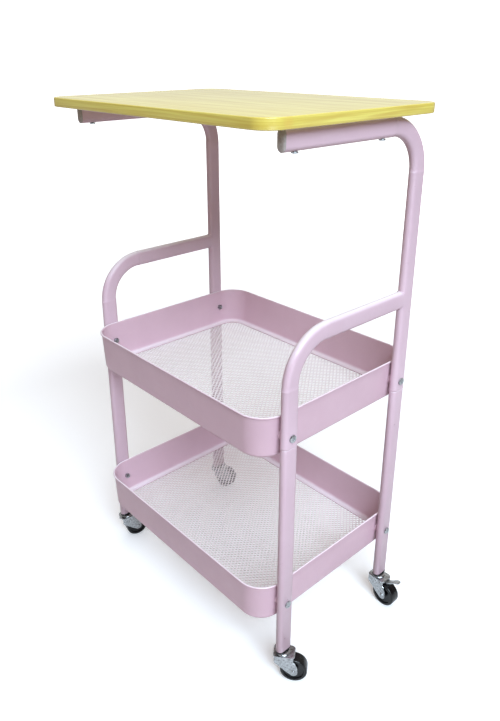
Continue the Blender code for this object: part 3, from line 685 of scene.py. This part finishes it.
def weld_bead(name, joint):
    """Rippled bead that follows the joint of a level tube with an upright one's round edge."""
    count, bead, ripple = 96, 2.1 * MM, 0.28 * MM
    radius = TUBE_DEPTH / 2
    edge_y = TUBE_WIDTH / 2 - radius
    outline = racetrack(TUBE_WIDTH, TUBE_DEPTH, count // 2 - 1)
    rings = []
    for index, (w, d) in enumerate(outline):
        reach = math.sqrt(max(radius**2 - min(abs(d), radius) ** 2, 0.0))
        before, after = outline[index - 1], outline[(index + 1) % len(outline)]
        out = Vector((after[0] - before[0], 0, -(after[1] - before[1])))
        out = Vector((out.z, 0, out.x)).normalized()
        if out.dot(Vector((d, 0, w))) < 0:
            out.negate()
        centre = joint + Vector((d, -edge_y - reach, w)) - Vector((0, 0.3 * MM, 0))
        size = bead + ripple * math.sin(index * math.tau * 20 / len(outline))
        back = Vector((0, 1, 0))
        ring = []
        for step in range(8):
            angle = math.tau * step / 8
            ring.append(centre + (out * math.cos(angle) + back * math.sin(angle)) * size * 0.62)
        rings.append(ring)
    return loft(name, rings, closed=True)


def make_lower_leg(label):
    """Straight lower tube; its top is rolled in and necked to enter the tube above."""
    node = f"lower_leg_{label}"
    low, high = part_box(node)
    centre = middle(node)
    side_name = label.split("_")[1]
    upper = "rear_post" if label.startswith("rear") else "side_handle"
    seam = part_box(f"{upper}_{side_name}")[0].z
    forward = Vector((0, 1, 0))
    levels = [(low.z, TUBE_CHAMFER), (low.z + 0.5 * MM, 0.0), (seam - SHOULDER_LENGTH, 0.0)]
    for step in range(1, 6):
        angle = math.pi / 2 * step / 5
        rise = SHOULDER_LENGTH * math.sin(angle)
        levels.append((seam - SHOULDER_LENGTH + rise, SPIGOT_INSET * (1 - math.cos(angle))))
    levels.append((high.z, SPIGOT_INSET))
    stations = [(Vector((centre.x, centre.y, z)), forward, inset, inset) for z, inset in levels]
    finish_piece(tube(f"{node}_tube", stations), node)


def make_end_plug(side_name):
    """Plug in the top tube's front end: a crowned oval face and a body inside the tube."""
    node = f"tube_end_plug_{side_name}"
    low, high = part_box(node)
    centre = middle(node)
    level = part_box(f"rear_post_{side_name}")[1].z - TUBE_WIDTH / 2
    crown = mm([(0.0, 3.4), (0.25, 1.7), (0.7, 0.7), (1.4, 0.0), (2.2, 0.0)])
    inner, length, chamfer = TUBE_WALL + 0.3 * MM, high.y - low.y, 0.8 * MM
    body = [(2.2 * MM, inner), (length - chamfer, inner), (length, inner + chamfer)]
    rings = []
    for depth, inset in crown + body:
        outline = racetrack(TUBE_WIDTH - 2 * inset, TUBE_DEPTH - 2 * inset)
        rings.append([(centre.x + d, low.y + depth, level + w) for w, d in outline])
    finish_piece(loft(f"{node}_moulding", rings, closed=False), node)


# ---- worktop


def make_worktop():
    """Solid board with round corners and softly eased edges."""
    low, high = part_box("worktop")
    centre = middle("worktop")
    size = high - low
    rings = []
    edge = WORKTOP_EDGE
    profile = arc((edge, low.z + edge), edge, 270, 180, 5) + arc((edge, high.z - edge), edge, 180, 90, 5)
    for inset, z in profile:
        outline = rounded_rectangle(size.x - 2 * inset, size.y - 2 * inset, WORKTOP_CORNER - inset)
        rings.append([(centre.x + x, centre.y + y, z) for x, y in outline])
    finish_piece(loft("worktop_board", rings, closed=False), "worktop", smooth=50)


# ---- baskets


def basket_profile(height):
    """Closed section of the sheet as (inset from the rim's outside, height from its top)."""
    foot = WALL_INSET + WALL_TAPER
    floor = SHEET - height
    cove = (foot + COVE_RADIUS, floor + COVE_RADIUS)
    bead = (RIM_RADIUS, -RIM_RADIUS)
    end = foot + COVE_RADIUS + LEDGE_WIDTH
    inner = [(end, floor)] + arc(cove, COVE_RADIUS, 270, 180, 8) + arc(bead, RIM_RADIUS, 0, RIM_CURL, 16)
    outer = arc(cove, COVE_RADIUS + SHEET, 270, 180, 8) + arc(bead, RIM_RADIUS - SHEET, 0, RIM_CURL, 12)
    return inner + list(reversed(outer)) + [(end, -height)]


def make_basket(level):
    """Drawn sheet basket: rolled rim, tapered walls, coved foot with a ledge, pressed bolt bosses."""
    node = f"{level}_basket"
    low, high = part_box(node)
    width, depth, height = BASKET_OUTER.x, BASKET_OUTER.y, high.z - low.z
    rings = []
    for inset, drop in basket_profile(height):
        outline = rounded_rectangle(width - 2 * inset, depth - 2 * inset, BASKET_CORNER - inset)
        rings.append([(TABLE_MIDDLE.x + x, TABLE_MIDDLE.y + y, high.z + drop) for x, y in outline])
    obj = loft(f"{node}_pressing", rings, closed=True)
    for end_name in ENDS:
        for side_name, side in SIDES.items():
            combine(obj, bolt_boss(f"{node}_boss", level, end_name, side_name, side), "UNION")
    finish_piece(obj, node, smooth=32)


def bolt_boss(name, level, end_name, side_name, side):
    """Crowned boss that reaches from the wall to the leg round a bolt."""
    bolt = middle(f"basket_bolt_{level}_{end_name}_{side_name}")
    leg_face = abs(middle(f"lower_leg_{end_name}_{side_name}").x - TABLE_MIDDLE.x) - TUBE_DEPTH / 2
    root = BASKET_OUTER.x / 2 - WALL_INSET - WALL_TAPER * 0.5 + SHEET / 2
    reach = leg_face - 0.1 * MM - root
    profile = [(0, 0), (BOSS_RADIUS * 1.06, 0), (BOSS_RADIUS, reach * 0.35)]
    profile += [(BOSS_RADIUS * 0.86, reach * 0.85), (BOSS_RADIUS * 0.78, reach), (0, reach)]
    boss = lathe(name, profile)
    turn = Matrix.Rotation(math.radians(90 * side), 4, "Y")
    boss.matrix_world = Matrix.Translation((TABLE_MIDDLE.x + side * root, bolt.y, bolt.z)) @ turn
    return boss


def make_mesh_floor(level):
    """Expanded metal panel: staggered diamonds, long across the table, with slightly leaning strands."""
    node = f"{level}_mesh_floor"
    low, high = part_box(node)
    centre = middle(node)
    half_x, half_y = (high.x - low.x) / 2, (high.y - low.y) / 2
    corner = BASKET_CORNER - WALL_INSET - WALL_TAPER - COVE_RADIUS
    step_x, step_y = MESH_SHORT / 2, MESH_LONG / 2
    to_edge = step_x * step_y / math.hypot(step_x, step_y)
    open_share = 1 - MESH_STRAND / 2 / to_edge
    top_z = high.z - MESH_TILT
    below = 0.78

    def inside(i, j):
        x, y = abs(i * step_x), abs(j * step_y)
        dx, dy = x - (half_x - corner), y - (half_y - corner)
        if dx > 0 and dy > 0:
            return math.hypot(dx, dy) < corner
        return x < half_x and y < half_y

    columns, rows = int(half_x / step_x) + 1, int(half_y / step_y) + 1
    real = set()
    for i in range(-columns, columns + 1):
        for j in range(-rows, rows + 1):
            if (i + j) % 2 == 0 and all(inside(i + a, j + b) for a, b in ((1, 0), (-1, 0), (0, 1), (0, -1))):
                real.add((i, j))

    verts, index_of, faces = [], {}, []

    def vertex(key, x, y, z):
        if key not in index_of:
            index_of[key] = len(verts)
            verts.append((centre.x + x, centre.y + y, z))
        return index_of[key]

    def corner_of(cell, towards, foot):
        """Hole corner of a cell, towards one of its four neighbouring lattice points."""
        share = 1 - (1 - open_share) * (below if foot else 1.0)
        x = (cell[0] + towards[0] * share) * step_x
        y = (cell[1] + towards[1] * share) * step_y
        z = top_z - towards[0] * MESH_TILT - (MESH_DEPTH if foot else 0.0)
        return vertex((cell, towards, foot), x, y, z)

    strands = set()
    for cell in real:
        for direction in ((1, 1), (-1, 1), (-1, -1), (1, -1)):
            other = (cell[0] + direction[0], cell[1] + direction[1])
            strands.add((cell, other) if direction[1] > 0 else (other, cell))
    points = set()
    for cell, other in strands:
        lean = other[0] - cell[0]
        points.update(((cell[0] + lean, cell[1]), (cell[0], cell[1] + 1)))
        upper, lower = [
            [corner_of(cell, (lean, 0), foot), corner_of(other, (0, -1), foot),
             corner_of(other, (-lean, 0), foot), corner_of(cell, (0, 1), foot)] for foot in (False, True)
        ]
        quads = [tuple(upper), tuple(reversed(lower))]
        quads.append((upper[0], upper[3], lower[3], lower[0]))
        quads.append((upper[2], upper[1], lower[1], lower[2]))
        faces += [quad if lean > 0 else tuple(reversed(quad)) for quad in quads]
    for n, m in points:
        around = [((n - 1, m), (1, 0)), ((n, m - 1), (0, 1)), ((n + 1, m), (-1, 0)), ((n, m + 1), (0, -1))]
        upper = [corner_of(cell, towards, False) for cell, towards in around]
        lower = [corner_of(cell, towards, True) for cell, towards in around]
        faces += [tuple(upper), tuple(reversed(lower))]
        for k in range(4):
            after = (k + 1) % 4
            cells = sorted((around[k][0], around[after][0]), key=lambda cell: cell[1])
            if tuple(cells) not in strands:
                faces.append((upper[after], upper[k], lower[k], lower[after]))
    mesh = bpy.data.meshes.new(f"{node}_expanded")
    mesh.from_pydata(verts, [], faces)
    mesh.validate()
    finish_piece(linked(f"{node}_expanded", mesh), node, smooth=20)


# ---- screws, bolts and nuts


def cross_recess(name, top, reach, depth):
    """Tapered cross that cuts a screw's driving recess, its mouth at the given height."""
    rings = []
    for z, arm, half in ((top + 0.4 * MM, reach, reach * 0.20), (top - depth, reach * 0.42, reach * 0.12)):
        outline = [(arm, half), (half, half), (half, arm), (-half, arm), (-half, half), (-arm, half)]
        outline += [(-x, -y) for x, y in outline]
        rings.append([(x, y, z) for x, y in outline])
    return loft(name, rings, closed=False)


def pan_head(radius, height):
    """Profile of a pan head from its crown's middle to its seat, the seat at height 0."""
    profile = []
    for step in range(5):
        angle = math.radians(step * 18)
        profile.append((radius * math.sin(angle) * 0.98, height * (0.62 + 0.38 * math.cos(angle))))
    profile += [(radius * 0.985, height * 0.52), (radius, height * 0.38)]
    return profile + [(radius, height * 0.10), (radius * 0.97, 0)]


def threads(radius, top, bottom, pitch, depth):
    """Profile of stacked thread ridges from top to bottom."""
    profile = []
    turns = max(1, int((top - bottom) / pitch))
    for turn in range(turns):
        z = top - turn * pitch
        profile += [(radius - depth, z), (radius, z - pitch * 0.4), (radius, z - pitch * 0.55)]
    profile.append((radius - depth, top - turns * pitch))
    return profile


def make_screw(node, axis_matrix, head_radius, head_height, shank_radius, length):
    """Cross-recessed pan head screw; local +Z points out of its head and the seat is at z = 0."""
    shank = [(shank_radius, 0), (shank_radius, -length * 0.5)]
    shank += threads(shank_radius, -length * 0.5, -length + shank_radius * 0.5, 0.8 * MM, 0.35 * MM)
    shank += [(shank_radius * 0.6, -length), (0, -length)]
    obj = lathe(f"{node}_turned", pan_head(head_radius, head_height) + shank)
    recess = cross_recess(f"{node}_recess", head_height, head_radius * 0.56, head_height * 0.62)
    combine(obj, recess, "DIFFERENCE")
    finish_piece(obj, node, axis_matrix, smooth=30)


def make_basket_bolt(level, end_name, side_name):
    side = SIDES[side_name]
    node = f"basket_bolt_{level}_{end_name}_{side_name}"
    low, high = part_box(node)
    centre = middle(node)
    head_radius = (high.z - low.z) / 2
    head_height = 3.0 * MM
    outer = high.x if side > 0 else low.x
    turn = Matrix.Rotation(math.radians(90 * side), 4, "Y")
    twist_angle = 17 + 31 * BOLTS.index((level, end_name, side_name)) % 90
    twist = Matrix.Rotation(math.radians(twist_angle), 4, "Z")
    seat = Matrix.Translation((outer - side * head_height, centre.y, centre.z))
    make_screw(node, seat @ turn @ twist, head_radius, head_height, 2.5 * MM, high.x - low.x - head_height)


def make_worktop_screw(end_name, side_name):
    node = f"worktop_screw_{end_name}_{side_name}"
    low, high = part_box(node)
    centre = middle(node)
    head_height = 2.4 * MM
    upside_down = Matrix.Rotation(math.pi, 4, "X") @ Matrix.Rotation(math.radians(25), 4, "Z")
    seat = Matrix.Translation((centre.x, centre.y, low.z + head_height))
    length = high.z - low.z - head_height
    make_screw(node, seat @ upside_down, (high.x - low.x) / 2, head_height, 2.0 * MM, length)


def make_basket_nut(level, end_name, side_name):
    """Hexagon nut with chamfered corners and a threaded bore."""
    node = f"basket_nut_{level}_{end_name}_{side_name}"
    low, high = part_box(node)
    half = (high.x - low.x) / 2
    flat = 4.0 * MM
    bore = 2.6 * MM
    count = 72

    def ring(radius_at, height_at):
        points = []
        for step in range(count):
            angle = math.tau * step / count
            radius = radius_at(angle)
            points.append((radius * math.cos(angle), radius * math.sin(angle), height_at(radius)))
        return points

    def hexagon(angle):
        return flat / math.cos((angle + math.pi / 6) % (math.pi / 3) - math.pi / 6)

    def chamfer(radius):
        return half - max(0.0, radius - flat * 0.96) * math.tan(math.radians(30))

    rings = [
        ring(lambda a: bore, lambda r: half - 0.4 * MM),
        ring(lambda a: bore + 0.4 * MM, lambda r: half),
        ring(lambda a: flat * 0.96, lambda r: half),
        ring(hexagon, chamfer),
        ring(hexagon, lambda r: -chamfer(r)),
        ring(lambda a: flat * 0.96, lambda r: -half),
        ring(lambda a: bore + 0.4 * MM, lambda r: -half),
        ring(lambda a: bore, lambda r: 0.4 * MM - half),
    ]
    turn = Matrix.Rotation(math.radians(90), 4, "Y") @ Matrix.Rotation(math.radians(11), 4, "Z")
    obj = loft(f"{node}_hex", rings, closed=True)
    finish_piece(obj, node, Matrix.Translation(middle(node)) @ turn, smooth=25)


# ---- casters


def swivel_frame(label):
    """Matrix of a caster: origin on the floor on the swivel's axis, +X towards the trailing wheel."""
    pivot = Vector(JOINTS[f"swivel_turn_{label}"]["pos_m"])
    wheel = Vector(JOINTS[f"wheel_spin_{label}"]["pos_m"])
    trail = wheel - pivot
    return Matrix.Translation((pivot.x, pivot.y, 0)) @ Matrix.Rotation(math.atan2(trail.y, trail.x), 4, "Z")


def wheel_place(label):
    """(trail, radius) of the wheel's centre in its caster's frame."""
    wheel = swivel_frame(label).inverted() @ Vector(JOINTS[f"wheel_spin_{label}"]["pos_m"])
    return wheel.x, wheel.z


def across(x, z):
    """Turns a piece made round local Z so that it lies across the fork at (x, z)."""
    return Matrix.Translation((x, 0, z)) @ Matrix.Rotation(math.radians(-90), 4, "X")


def two_sided(half):
    """Profile of a turned piece from its upper half, mirrored below."""
    return half + [(r, -z) for r, z in reversed(half)]


SIDE_VIEW = Matrix.Rotation(math.radians(90), 4, "X")


def make_leg_insert(label):
    """Black socket in the leg's foot: a bull-nosed collar under the tube and a plug inside it."""
    node = f"leg_insert_{label}"
    low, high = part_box(node)
    centre = middle(node)
    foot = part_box(f"lower_leg_{label}")[0].z
    top = foot - 0.1 * MM
    collar = [(low.z, 0.9 * MM), (low.z + 0.4 * MM, 0.25 * MM), (low.z + 1.0 * MM, 0.0)]
    collar += [(top - 0.9 * MM, -0.3 * MM), (top - 0.3 * MM, -0.1 * MM), (top, 0.4 * MM)]
    body_inset = TUBE_WALL + 0.3 * MM
    plug = [(top, body_inset), (high.z - 1.0 * MM, body_inset), (high.z, body_inset + 1.0 * MM)]
    rings = []
    for z, inset in collar + plug:
        outline = racetrack(TUBE_WIDTH - 2 * inset, TUBE_DEPTH - 2 * inset)
        rings.append([(centre.x + d, centre.y + w, z) for w, d in outline])
    finish_piece(loft(f"{node}_moulding", rings, closed=False), node)


def make_caster_stem(label):
    """Swivel stem: pin in the socket, domed ball race over the fork and the riveted head below it."""
    node = f"caster_stem_{label}"
    low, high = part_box(node)
    race_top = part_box(f"leg_insert_{label}")[0].z - 0.3 * MM
    fork_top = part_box(f"caster_fork_{label}")[1].z
    race_foot = fork_top + 0.3 * MM
    height = race_top - race_foot
    race = [(3.0, 1.0), (6.2, 1.0), (7.6, 0.96), (8.8, 0.86), (9.7, 0.70)]
    race += [(10.3, 0.52), (10.7, 0.34), (10.8, 0.18), (10.6, 0.06)]
    rivet_top = fork_top - 2.3 * MM
    profile = [(0, high.z), (2.4 * MM, high.z), (3.0 * MM, high.z - 0.8 * MM)]
    profile += [(radius * MM, race_foot + share * height) for radius, share in race]
    profile += [(9.8 * MM, race_foot), (3.4 * MM, race_foot), (3.4 * MM, rivet_top), (6.0 * MM, rivet_top)]
    profile += [(5.7 * MM, low.z + 0.8 * MM), (4.6 * MM, low.z + 0.2 * MM), (0, low.z)]
    pivot = swivel_frame(label).translation
    finish_piece(lathe(f"{node}_turned", profile), node, Matrix.Translation(pivot), smooth=28)


def fork_outline(trail, radius, top):
    """Side view of the fork: wide under its top plate, sweeping down to a round axle boss."""
    outline = arc((FORK_BACK + FORK_BEND, top - FORK_BEND), FORK_BEND, 90, 180, 3)
    outline += [(FORK_BACK, 39 * MM)]
    outline += mm([(-13.4, 36.6), (-11.8, 34.6), (-9.3, 32.6), (-4, 28.4), (1.5, 23.8), (6.5, 19.5)])
    outline += arc((trail, radius), AXLE_BOSS, 215, 375, 14)
    outline += mm([(22.6, 25), (22, 29), (20.6, 33), (18.7, 36.4)])
    outline += [(FORK_NOSE, 39 * MM)]
    return outline + arc((FORK_NOSE - FORK_BEND, top - FORK_BEND), FORK_BEND, 0, 90, 3)


def make_caster_fork(label):
    """Pressed steel fork: one folded channel with rolled edges, round corners and its holes."""
    node = f"caster_fork_{label}"
    base = swivel_frame(label)
    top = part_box(node)[1].z
    trail, radius = wheel_place(label)
    obj = plate(f"{node}_pressing", fork_outline(trail, radius, top), 2 * FORK_HALF)
    obj.data.transform(SIDE_VIEW)
    width, overlap = 2 * (FORK_HALF + 0.1 * MM), 0.2 * MM
    ends = (FORK_BACK - overlap, FORK_NOSE + overlap)
    sections = [(0, -60 * MM, 60 * MM), (26 * MM, -24 * MM, 34 * MM), (33 * MM, -15.5 * MM, 27 * MM)]
    rings = []
    for z, back, nose in sections + [(FORK_SHOULDER, *ends), (top + overlap, *ends)]:
        plan = rounded_rectangle(nose - back, width, FORK_CORNER, 8)
        rings.append([((back + nose) / 2 + x, y, z) for x, y in plan])
    combine(obj, loft(f"{node}_keep", rings, closed=False), "INTERSECT")
    round_edges(obj, 0.9 * MM, segments=3, angle=50)
    opening = rounded_rectangle(120 * MM, 2 * (FORK_HALF - FORK_SHEET), 1 * MM, 3)
    combine(obj, plate(f"{node}_slot", opening, 2 * (top - FORK_TOP_SHEET)), "DIFFERENCE")
    drill(obj, 2.8 * MM, 14 * MM, -14 * MM, across(trail, radius))
    if f"brake_press_{label}" in JOINTS:
        pivot = base.inverted() @ Vector(JOINTS[f"brake_press_{label}"]["pos_m"])
        drill(obj, 1.5 * MM, 14 * MM, -14 * MM, across(pivot.x, pivot.z))
    drill(obj, 3.7 * MM, 60 * MM, 40 * MM, Matrix())
    finish_piece(obj, node, base, smooth=32)


def make_wheel_axle(label):
    """Riveted axle: domed heads with a punched centre, over a washer on each cheek."""
    node = f"wheel_axle_{label}"
    trail, radius = wheel_place(label)
    head = [(0, 1.05), (0.9, 1.15), (1.5, 1.6), (2.4, 1.55), (3.1, 1.15), (3.45, 0.55), (3.5, 0.35)]
    washer = [(4.6, 0.3), (4.7, 0.05), (2.5, 0.05)]
    profile = two_sided([(r * MM, FORK_HALF + z * MM) for r, z in head + washer])
    matrix = swivel_frame(label) @ across(trail, radius)
    finish_piece(lathe(f"{node}_turned", profile), node, matrix, smooth=30)


def make_caster_wheel(label):
    """Moulded wheel: dished web with a hub boss, rounded tread and a fine parting line."""
    node = f"caster_wheel_{label}"
    trail, radius = wheel_place(label)
    hub = mm([(2.58, 9.5), (4.3, 9.5), (4.6, 9.3), (4.9, 7.2), (5.6, 6.6)])
    web = mm([(13.4, 6.6), (14.4, 6.8), (14.9, 7.6), (15.3, 8.8)])
    shoulder = arc((radius - TREAD_ROUND, WHEEL_HALF - TREAD_ROUND), TREAD_ROUND, 90, 10, 8)
    tread = [(radius, 1.2 * MM), (radius, 0.25 * MM), (radius + 0.06 * MM, 0.12 * MM)]
    profile = two_sided(hub + web + shoulder + tread)
    matrix = swivel_frame(label) @ across(trail, radius)
    finish_piece(lathe(f"{node}_moulding", profile, closed=True, steps=64), node, matrix, smooth=32)


def make_brake(label):
    """Brake lever of bent sheet over the wheel, and the pin it turns on."""
    lever_node, pin_node = f"brake_lever_{label}", f"brake_pin_{label}"
    base = swivel_frame(label)
    pivot = base.inverted() @ Vector(JOINTS[f"brake_press_{label}"]["pos_m"])
    x, z = pivot.x, pivot.z
    tab = LEVER_TAB
    outline = arc((x, z), LEVER_HUB, 90, 290, 14)
    outline += [(x + 4.5 * MM, z - 1.2 * MM), (x + 7.5 * MM, z - 1.0 * MM), (x + 10 * MM, z + 0.4 * MM)]
    outline += [(27 * MM, 46.6 * MM), (33 * MM, tab - 2.9 * MM)]
    outline += [(36 * MM, tab - 1.1 * MM), (39 * MM, tab - 0.1 * MM)]
    outline += arc((LEVER_REACH - 0.9 * MM, tab + 1.0 * MM), 0.9 * MM, -70, 80, 5)
    outline += [(38.6 * MM, tab + 1.6 * MM), (35.4 * MM, tab + 0.7 * MM), (32 * MM, tab - 1.0 * MM)]
    outline += [(26 * MM, 48.6 * MM), (x + 9 * MM, z + 2.5 * MM), (x + 5.3 * MM, z + 2.0 * MM)]
    obj = plate(f"{lever_node}_pressing", outline, 2 * LEVER_HALF)
    obj.data.transform(SIDE_VIEW)
    trim = rounded_rectangle(2 * LEVER_REACH, 2 * LEVER_HALF, 3.2 * MM, 8)
    combine(obj, plate(f"{lever_node}_trim", trim, 120 * MM), "INTERSECT")
    round_edges(obj, 0.4 * MM, segments=2, angle=40)
    drill(obj, 1.3 * MM, 9 * MM, -9 * MM, across(x, z))
    obj.data.transform(Matrix.Translation((-x, 0, -z)))
    finish_piece(obj, lever_node, base @ Matrix.Translation((x, 0, z)), smooth=32)
    head = [(0, 0.75), (0.8, 0.8), (1.5, 0.65), (1.9, 0.3), (2.0, 0.05), (1.2, 0.05)]
    profile = two_sided([(r * MM, FORK_HALF + h * MM) for r, h in head])
    finish_piece(lathe(f"{pin_node}_turned", profile), pin_node, base @ across(x, z), smooth=30)


# ---- the whole table


def build_table():
    make_worktop()
    for side_name in SIDES:
        make_rear_post(side_name)
        make_side_handle(side_name)
        make_end_plug(side_name)
        for end_name in ENDS:
            make_worktop_screw(end_name, side_name)
    for level in LEVELS:
        make_basket(level)
        make_mesh_floor(level)
    for corner in BOLTS:
        make_basket_bolt(*corner)
        make_basket_nut(*corner)
    for label in CASTERS:
        make_lower_leg(label)
        make_leg_insert(label)
        make_caster_stem(label)
        make_caster_fork(label)
        make_wheel_axle(label)
        make_caster_wheel(label)
        if f"brake_press_{label}" in JOINTS:
            make_brake(label)


# ---- stage, lights and camera


def make_floor():
    """Round pale floor. Its light on the table is kept low, like a floor further off."""
    shape = bmesh.new()
    loops = []
    for radius in (3, 12, 40):
        loops.append([shape.verts.new((x, y, 0)) for x, y in arc((0, 0), radius, 0, 360, 96)[:-1]])
    shape.faces.new(loops[0])
    for pair in zip(loops, loops[1:]):
        skin(shape, *pair)
    floor = new_object("studio_floor", shape)
    floor.location = (TABLE_MIDDLE.x, TABLE_MIDDLE.y, 0)
    floor.data.materials.append(floor_paint("studio_floor_paint"))


def make_light(name, place, target, size, power, colour):
    lamp = bpy.data.lights.new(name, "AREA")
    lamp.shape = "RECTANGLE"
    lamp.size, lamp.size_y = size
    lamp.energy = power
    lamp.color = colour
    obj = linked(name, lamp)
    obj.location = TABLE_MIDDLE + Vector(place)
    obj.rotation_euler = (TABLE_MIDDLE + Vector(target) - obj.location).to_track_quat("-Z", "Y").to_euler()


def make_world():
    """White behind the table. What lights it is a dim dome, brighter on the side behind the table."""
    world = bpy.data.worlds.new("studio_world")
    sky = Nodes(world)
    dome = sky.tree.nodes["Background"]
    towards = sky.node("ShaderNodeVectorMath", operation="DOT_PRODUCT")
    sky.feed(towards.inputs[0], sky.node("ShaderNodeTexCoord").outputs["Generated"])
    sky.feed(towards.inputs[1], Vector(BRIGHT_SIDE).normalized())
    levels = (WORLD_STRENGTH, BRIGHT_STRENGTH)
    strength = sky.remap(towards.outputs["Value"], 0.1, 0.95, *levels, interpolation_type="SMOOTHSTEP")
    sky.feed(dome.inputs["Strength"], strength)
    sky.feed(dome.inputs["Color"], sky.mix(sky.remap(strength, *levels), DIM_TINT, BRIGHT_TINT))
    behind = sky.node("ShaderNodeBackground")
    sky.feed(behind.inputs["Strength"], BACKDROP)
    sky.feed(behind.inputs["Color"], (1.0, 1.0, 1.0, 1.0))
    choice = sky.node("ShaderNodeMixShader")
    sky.feed(choice.inputs["Fac"], sky.node("ShaderNodeLightPath").outputs["Is Camera Ray"])
    sky.feed(choice.inputs[1], dome.outputs["Background"])
    sky.feed(choice.inputs[2], behind.outputs["Background"])
    sky.feed(sky.tree.nodes["World Output"].inputs["Surface"], choice.outputs["Shader"])
    bpy.context.scene.world = world


def make_camera():
    """Camera in front of the right corner, a little above the worktop's height, looking down."""
    data = bpy.data.cameras.new("camera")
    data.lens = CAMERA_LENS
    data.sensor_width = 36
    data.shift_x, data.shift_y = CAMERA_SHIFT
    data.clip_start, data.clip_end = 0.05, 60
    camera = linked("camera", data)
    pan, tilt, roll = [math.radians(angle) for angle in CAMERA_TURN]
    forward = Vector((-math.sin(pan) * math.cos(tilt), math.cos(pan) * math.cos(tilt), math.sin(tilt)))
    level_right = Vector((math.cos(pan), math.sin(pan), 0))
    level_up = level_right.cross(forward)
    right = level_right * math.cos(roll) + level_up * math.sin(roll)
    up = level_up * math.cos(roll) - level_right * math.sin(roll)
    turn = Matrix((right, up, -forward)).transposed().to_4x4()
    camera.matrix_world = Matrix.Translation(TABLE_MIDDLE + Vector(CAMERA_PLACE)) @ turn
    bpy.context.scene.camera = camera


def make_stage():
    make_floor()
    make_world()
    for name, settings in LAMPS.items():
        make_light(name, *settings)
    make_camera()
    view = bpy.context.scene.view_settings
    view.view_transform = "Standard"
    view.look = "None"


build_table()
make_stage()
